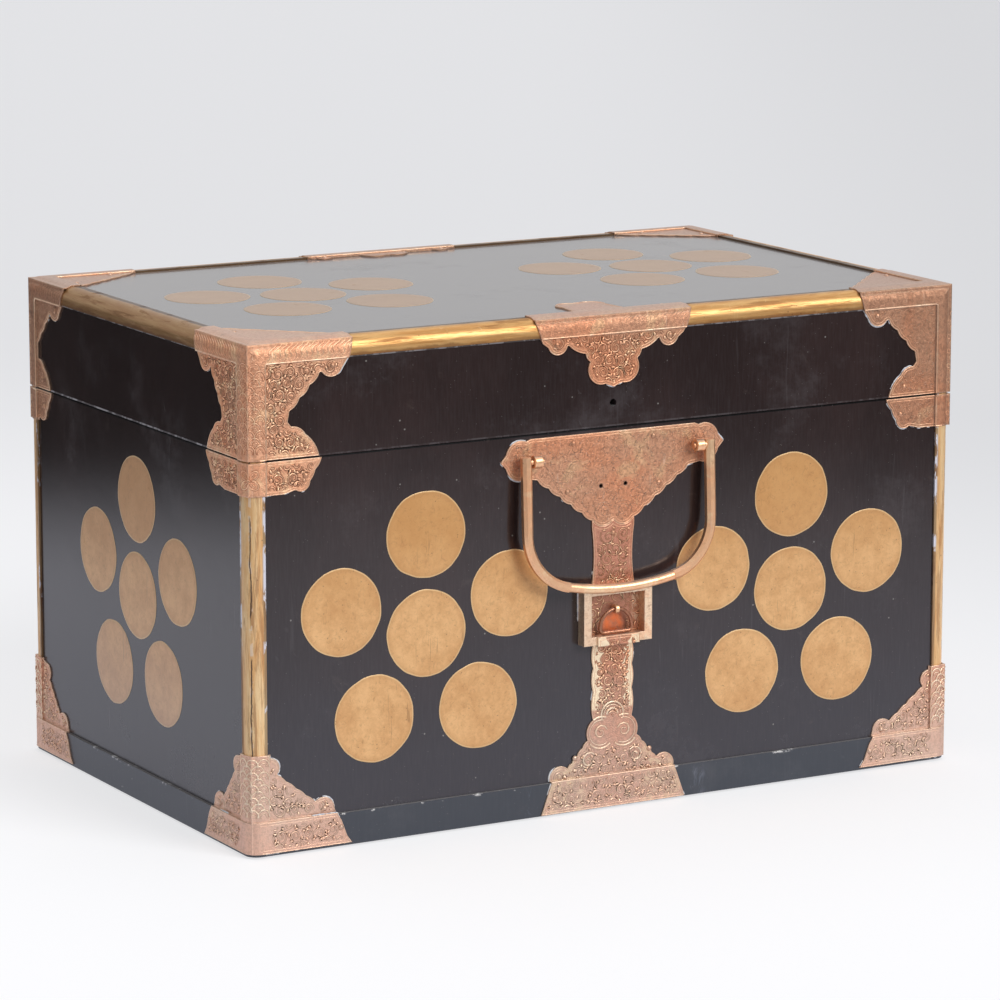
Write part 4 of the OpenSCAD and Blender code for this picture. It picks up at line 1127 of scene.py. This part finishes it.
feather_count = 0
for name in sorted(sheets):
    if not name.startswith("lid_"):
        continue
    strokes = [line for side in sides_of(name) for line in feathers(name, side)]
    feather_count += len(strokes)
    if "corner" in name and not worn_plain(name):
        ridge_piece(name + "_feathers", strokes, 0.55 * MM, chased_gilt, 1)
        ribbon_piece(name + "_feather_ground", strokes, 0.50 * MM, red_ground, 0.25 * MM)
    else:
        ridge_piece(name + "_feathers", strokes, 0.30 * MM, sheet_copper)
print("feathers:", feather_count)

# %% Round the posts
def post_spot(sheet, corner, around, height):
    """A point on a mount where it wraps a post. around is measured from the corner, along the skin."""
    sx, sy = corner
    centre = Vector((sx * (EDGE_X - ROUND), sy * (EDGE_Y - ROUND), height))
    half_turn = math.radians(45) * (ROUND + SHEET_T)     # along the bend, from the corner to a flat face
    bend = max(-half_turn, min(half_turn, around))
    angle = math.radians(45) + bend / (ROUND + SHEET_T)
    way = Vector((sx * math.sin(angle), sy * math.cos(angle), 0))
    rest = around - bend
    centre += Vector((-sx if rest < 0 else 0, -sy if rest > 0 else 0, 0)) * abs(rest)
    hit, normal, face, far = sheet.tree.ray_cast(centre + way * RAY * MM, -way, RAY * MM)
    return (hit, way) if hit else (None, None)


def wrap(sheet, corner, drawn, border):
    """Drops lines drawn as (around, height, share) onto the part of a mount that wraps a post."""
    laid = []
    for flat in drawn:
        run = []
        for around, height, share in flat:
            hit, way = post_spot(sheet, corner, around, height)
            if hit and sheet.margin(hit) > border:
                run.append((hit, share))
        if len(run) > 2:
            laid.append(run)
    return laid


# %% Petals, flowers and vines
def petals(low, high, pitch):
    """Rows of overlapping petals between two heights, as on carved posts."""
    apart, wide, narrow = 4.2 * MM, 4.6 * MM, 2.6 * MM
    found, height, row = [], low, 0
    while height < high:
        for k in (-1, 1) if row % 2 else (-2, 0, 2):
            for share, width in ((1.0, wide), (0.6, narrow)):
                tall = pitch * 0.95 * width / wide
                found.append([(k * apart + width * math.sin(math.radians(a)),
                               height + tall * math.cos(math.radians(a * 0.92)), share)
                              for a in range(-90, 91, 15)])
        height += pitch * 0.66
        row += 1
    return found


def flower(height, size):
    """A flower of four petals with a vein in each, and a bud."""
    found = []
    for k in range(4):
        way = math.radians(45 + 90 * k)
        petal = []
        for n in range(11):
            turn = math.radians(-150 + 30 * n)
            along = size * (0.55 + 0.42 * math.cos(turn))
            beside_way = size * 0.30 * math.sin(turn)
            petal.append((along * math.cos(way) - beside_way * math.sin(way),
                          height + along * math.sin(way) + beside_way * math.cos(way), 1.0))
        found.append(petal)
        found.append([(size * t * math.cos(way), height + size * t * math.sin(way), 0.8)
                      for t in (0.15, 0.4, 0.7)])
    bud = size * 0.12
    found.append([(bud * math.cos(a), height + bud * math.sin(a), 1.3) for a in (0, 1.6, 3.2, 4.8, 6.3)])
    return found


def post_vine(low, high, pitch):
    """A narrow vine that climbs a post, with a curl to either side in turn."""
    found, height, side = [], low, 1
    while height < high:
        found.append(curl(side * 1.2 * MM, height, pitch * 0.42, side, 0.6, 1.1, 9))
        height += pitch * 0.8
        side = -side
    return found


# %% Chasing on the posts
post_lines = 0
for name in sorted(n for n in sheets if "_corner_" in n):
    sheet = sheets[name]
    low, high = sheet.box
    corner = (1 if low.x + high.x > 0 else -1, 1 if low.y + high.y > 0 else -1)
    if worn_plain(name):
        drawn = post_vine(low.z + 4 * MM, min(high.z, BEAD_Z) - 4 * MM, 7 * MM)
        lines = wrap(sheet, corner, drawn, 2.0 * MM)
        ridge_piece(name + "_petals", lines, 0.32 * MM, chased_gilt)
        post_lines += len(lines)
        continue
    if name.startswith("lid_"):
        drawn = petals(SEAM_Z + 5 * MM, BEAD_Z - 6 * MM, 8 * MM)
    elif low.z < 10 * MM:
        drawn = petals(PLINTH_Z + 4 * MM, high.z - 6 * MM, 7 * MM)
    else:
        drawn = flower((low.z + high.z) / 2, 9 * MM)
    lines = wrap(sheet, corner, drawn, 2.4 * MM)
    radius, gilt = (0.60 * MM, gilt_copper) if name.startswith("foot") else (0.45 * MM, chased_gilt)
    ridge_piece(name + "_petals", lines, radius, gilt, 1)
    ribbon_piece(name + "_petal_ground", lines, 0.45 * MM, red_ground, 0.30 * MM)
    post_lines += len(lines)
print("lines on the posts:", post_lines)

# %% [markdown]
# ## Figures on the middle mounts
# The foot mount carries a cloud of three lobes, outlined by a broad pale ridge. Two clouds face
# each other at the lower end of the handle plate.

# %% Clouds
def arc(u, v, radius, start, end, share=1.0, steps=18):
    """Part of a circle about (u, v), between two angles."""
    angles = [math.radians(start + (end - start) * k / steps) for k in range(steps + 1)]
    return [(u + radius * math.cos(a), v + radius * math.sin(a), share) for a in angles]


def foot_cloud():
    """Three lobes in double outline, a string of beads in the upper one, and curls."""
    found = []
    for side, start, end, upper, low_end, share in (
            (12.0 * MM, 68, 312, 9.5 * MM, -18, 1.0), (9.6 * MM, 75, 300, 7.2 * MM, 0, 0.6)):
        found.append(arc(-CLOUD_U, CLOUD_Z, side, start, end, share))
        found.append(arc(CLOUD_U, CLOUD_Z, side, 180 - start, 180 - end, share))
        found.append(arc(0, CLOUD_Z + CLOUD_LOBE, upper, low_end, 180 - low_end, share))
    for u, v, share in arc(0, CLOUD_Z + CLOUD_LOBE, 4.6 * MM, 10, 170, steps=8):
        found.append(arc(u, v, 0.55 * MM, 0, 360, 0.7, 6))
    found += [curl(-CLOUD_U, CLOUD_Z, 6.0 * MM, 1, 0.3), curl(CLOUD_U, CLOUD_Z, 6.0 * MM, -1, 2.8),
              curl(-20 * MM, 37 * MM, 6.5 * MM, 1, 0.6), curl(20 * MM, 37 * MM, 6.5 * MM, -1, 2.5)]
    return found


def plate_clouds():
    """Two clouds that face each other at the lower end of a handle plate."""
    low, found = 213 * MM, []
    for way in (1, -1):
        start = 0.2 if way > 0 else math.pi - 0.2
        found.append(curl(way * 8.0 * MM, low + 10.5 * MM, 5.2 * MM, way, start, 1.4, 18))
        found.append(arc(way * 8.5 * MM, low + 10.5 * MM, 7.2 * MM, 90 - way * 130, 90 + way * 40, 0.9))
        found.append(arc(way * 20 * MM, low + 20 * MM, 6.0 * MM, 90 - way * 150, 90 + way * 60, 0.8))
    return found


for name in sorted(n for n in sheets if "foot_mount" in n or "plate" in n):
    facing, across, upward = SIDES["front" if "front" in name else "back"]
    if "plate" in name:
        lines = lay(sheets[name], plate_clouds(), facing, across, upward, 1.5 * MM)
        ridge_piece(name + "_clouds", sunk(lines, 0.12 * MM), 0.42 * MM, sheet_copper, 1)
    else:
        lines = lay(sheets[name], foot_cloud(), facing, across, upward, 0.35 * MM)
        ridge_piece(name + "_cloud", sunk(lines, 0.30 * MM), 0.90 * MM, gilt_copper, 1)
        ribbon_piece(name + "_cloud_ground", lines, 0.80 * MM, dark_ground, 0.30 * MM)
    print(name, len(lines), "lines of cloud")

# %% [markdown]
# ## Old polish
# Polish has dried white along the edges of the mounts, where no cloth reaches. It is a broken
# line on the board, at the foot of the sheet's cut edge.

# %% Lines of polish
def dried(name, seed, share):
    """Broken lines on the boards round a mount, where a random level is above share."""
    lines = []
    shift = Vector((seed * 3.7, seed * 1.3, seed * 2.1))
    for chain in sheets[name].rims:
        run = []
        for point, out, inward in walk(chain, 1.3 * MM):
            spot = point - inward * 0.35 * MM - out * 0.85 * MM
            level = noise.fractal(spot * 34 + shift, 0.7, 2.2, 3) + 0.35 * noise.noise(spot * 420 + shift)
            if "plate" in name and inward.z < -0.7:
                level += 0.40                             # most of it lies along the top of the plates
            if level > share and abs(spot.z - SEAM_Z) > 3 * MM and spot.z < 368 * MM:
                run.append((spot, min(1.9, 0.25 + (level - share) * 4)))
            else:
                lines.append(run)
                run = []
        lines.append(run)
    lines = [line for line in lines if len(line) > 2]
    if lines:
        ridge_piece(name + "_polish", lines, 0.42 * MM, residue)
    return len(lines)


polish = [dried(name, number, 0.24) for number, name in enumerate(sorted(sheets))]
print("lines of dried polish:", sum(polish))

# %% [markdown]
# ## Crests
# The discs are cut by hand from thick leaf, so no outline is a true circle, and a pale line runs
# just inside the edge. Centres and sizes are read from the solids that the new discs take the
# place of.

# %% Where the discs lie
def discs_of(name):
    """(centre, facing, radius, thickness) of each disc in a solid."""
    solid = nodes[name]
    mesh = bmesh.new()
    mesh.from_mesh(solid.data)
    mesh.transform(solid.matrix_world)
    bmesh.ops.remove_doubles(mesh, verts=mesh.verts, dist=WELD)
    left, found = set(mesh.verts), []
    while left:
        island, queue = set(), [left.pop()]
        while queue:
            vert = queue.pop()
            island.add(vert)
            for edge in vert.link_edges:
                other = edge.other_vert(vert)
                if other in left:
                    left.discard(other)
                    queue.append(other)
        low = Vector([min(v.co[k] for v in island) for k in range(3)])
        high = Vector([max(v.co[k] for v in island) for k in range(3)])
        size, centre = high - low, (low + high) / 2
        thin = min(range(3), key=lambda k: size[k])
        facing = Vector([0, 0, 0])
        facing[thin] = 1 if centre[thin] > 0 else -1
        found.append((centre + facing * size[thin] / 2, facing, max(size) / 2, size[thin]))
    mesh.free()
    return sorted(found, key=lambda disc: [round(c / MM) for c in disc[0]])


# %% Hand-cut discs
AROUND = 72                                           # corners round a disc
PROFILE = ((0.0, 0.62), (0.55, 0.62), (0.86, 0.62), (0.94, 0.62), (0.985, 0.60), (1.0, 0.42), (1.0, 0.0))


def hand_cut(name, body):
    """Discs with a wavering outline. PROFILE gives each ring's share of the radius and the thickness."""
    shape = bmesh.new()
    rim_share = shape.verts.layers.float.new("rim")
    for number, (centre, facing, radius, thick) in enumerate(discs_of(name)):
        turn = facing.to_track_quat("Z", "Y").to_matrix().to_4x4()
        place_at = Matrix.Translation(centre - facing * thick) @ turn
        previous = None
        for share, high in PROFILE:
            ring = []
            for k in range(AROUND if share else 1):
                angle = 2 * math.pi * k / AROUND
                spot = Vector((math.cos(angle), math.sin(angle), 0))
                wobble = 0.020 * noise.noise(spot * 1.6 + Vector((0, 0, number * 7.3)))
                wobble += 0.010 * noise.noise(spot * 4.6 + Vector((3.1, 0, number * 5.7)))
                far = radius * share * (0.992 + wobble)
                corner = Vector((far * math.cos(angle), far * math.sin(angle), thick * high))
                vert = shape.verts.new(place_at @ corner)
                vert[rim_share] = share
                ring.append(vert)
            for k in range(AROUND if previous else 0):
                onward = (k + 1) % AROUND
                if len(previous) == 1:
                    shape.faces.new((previous[0], ring[k], ring[onward]))
                else:
                    shape.faces.new((previous[k], ring[k], ring[onward], previous[onward]))
            previous = ring
        shape.faces.new(list(reversed(previous)))
    bmesh.ops.recalc_face_normals(shape, faces=shape.faces)
    data = bpy.data.meshes.new(name + "_discs")
    shape.to_mesh(data)
    shape.free()
    for face in data.polygons:
        face.use_smooth = len(face.vertices) < 5
    made = bpy.data.objects.new(name + "_discs", data)
    bpy.context.scene.collection.objects.link(made)
    data.materials.append(gold_leaf)
    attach(made, body)
    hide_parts(name)


for name in sorted(n for n in nodes if "crest" in n):
    hand_cut(name, body_of(name))
    print(name, "cut by hand")
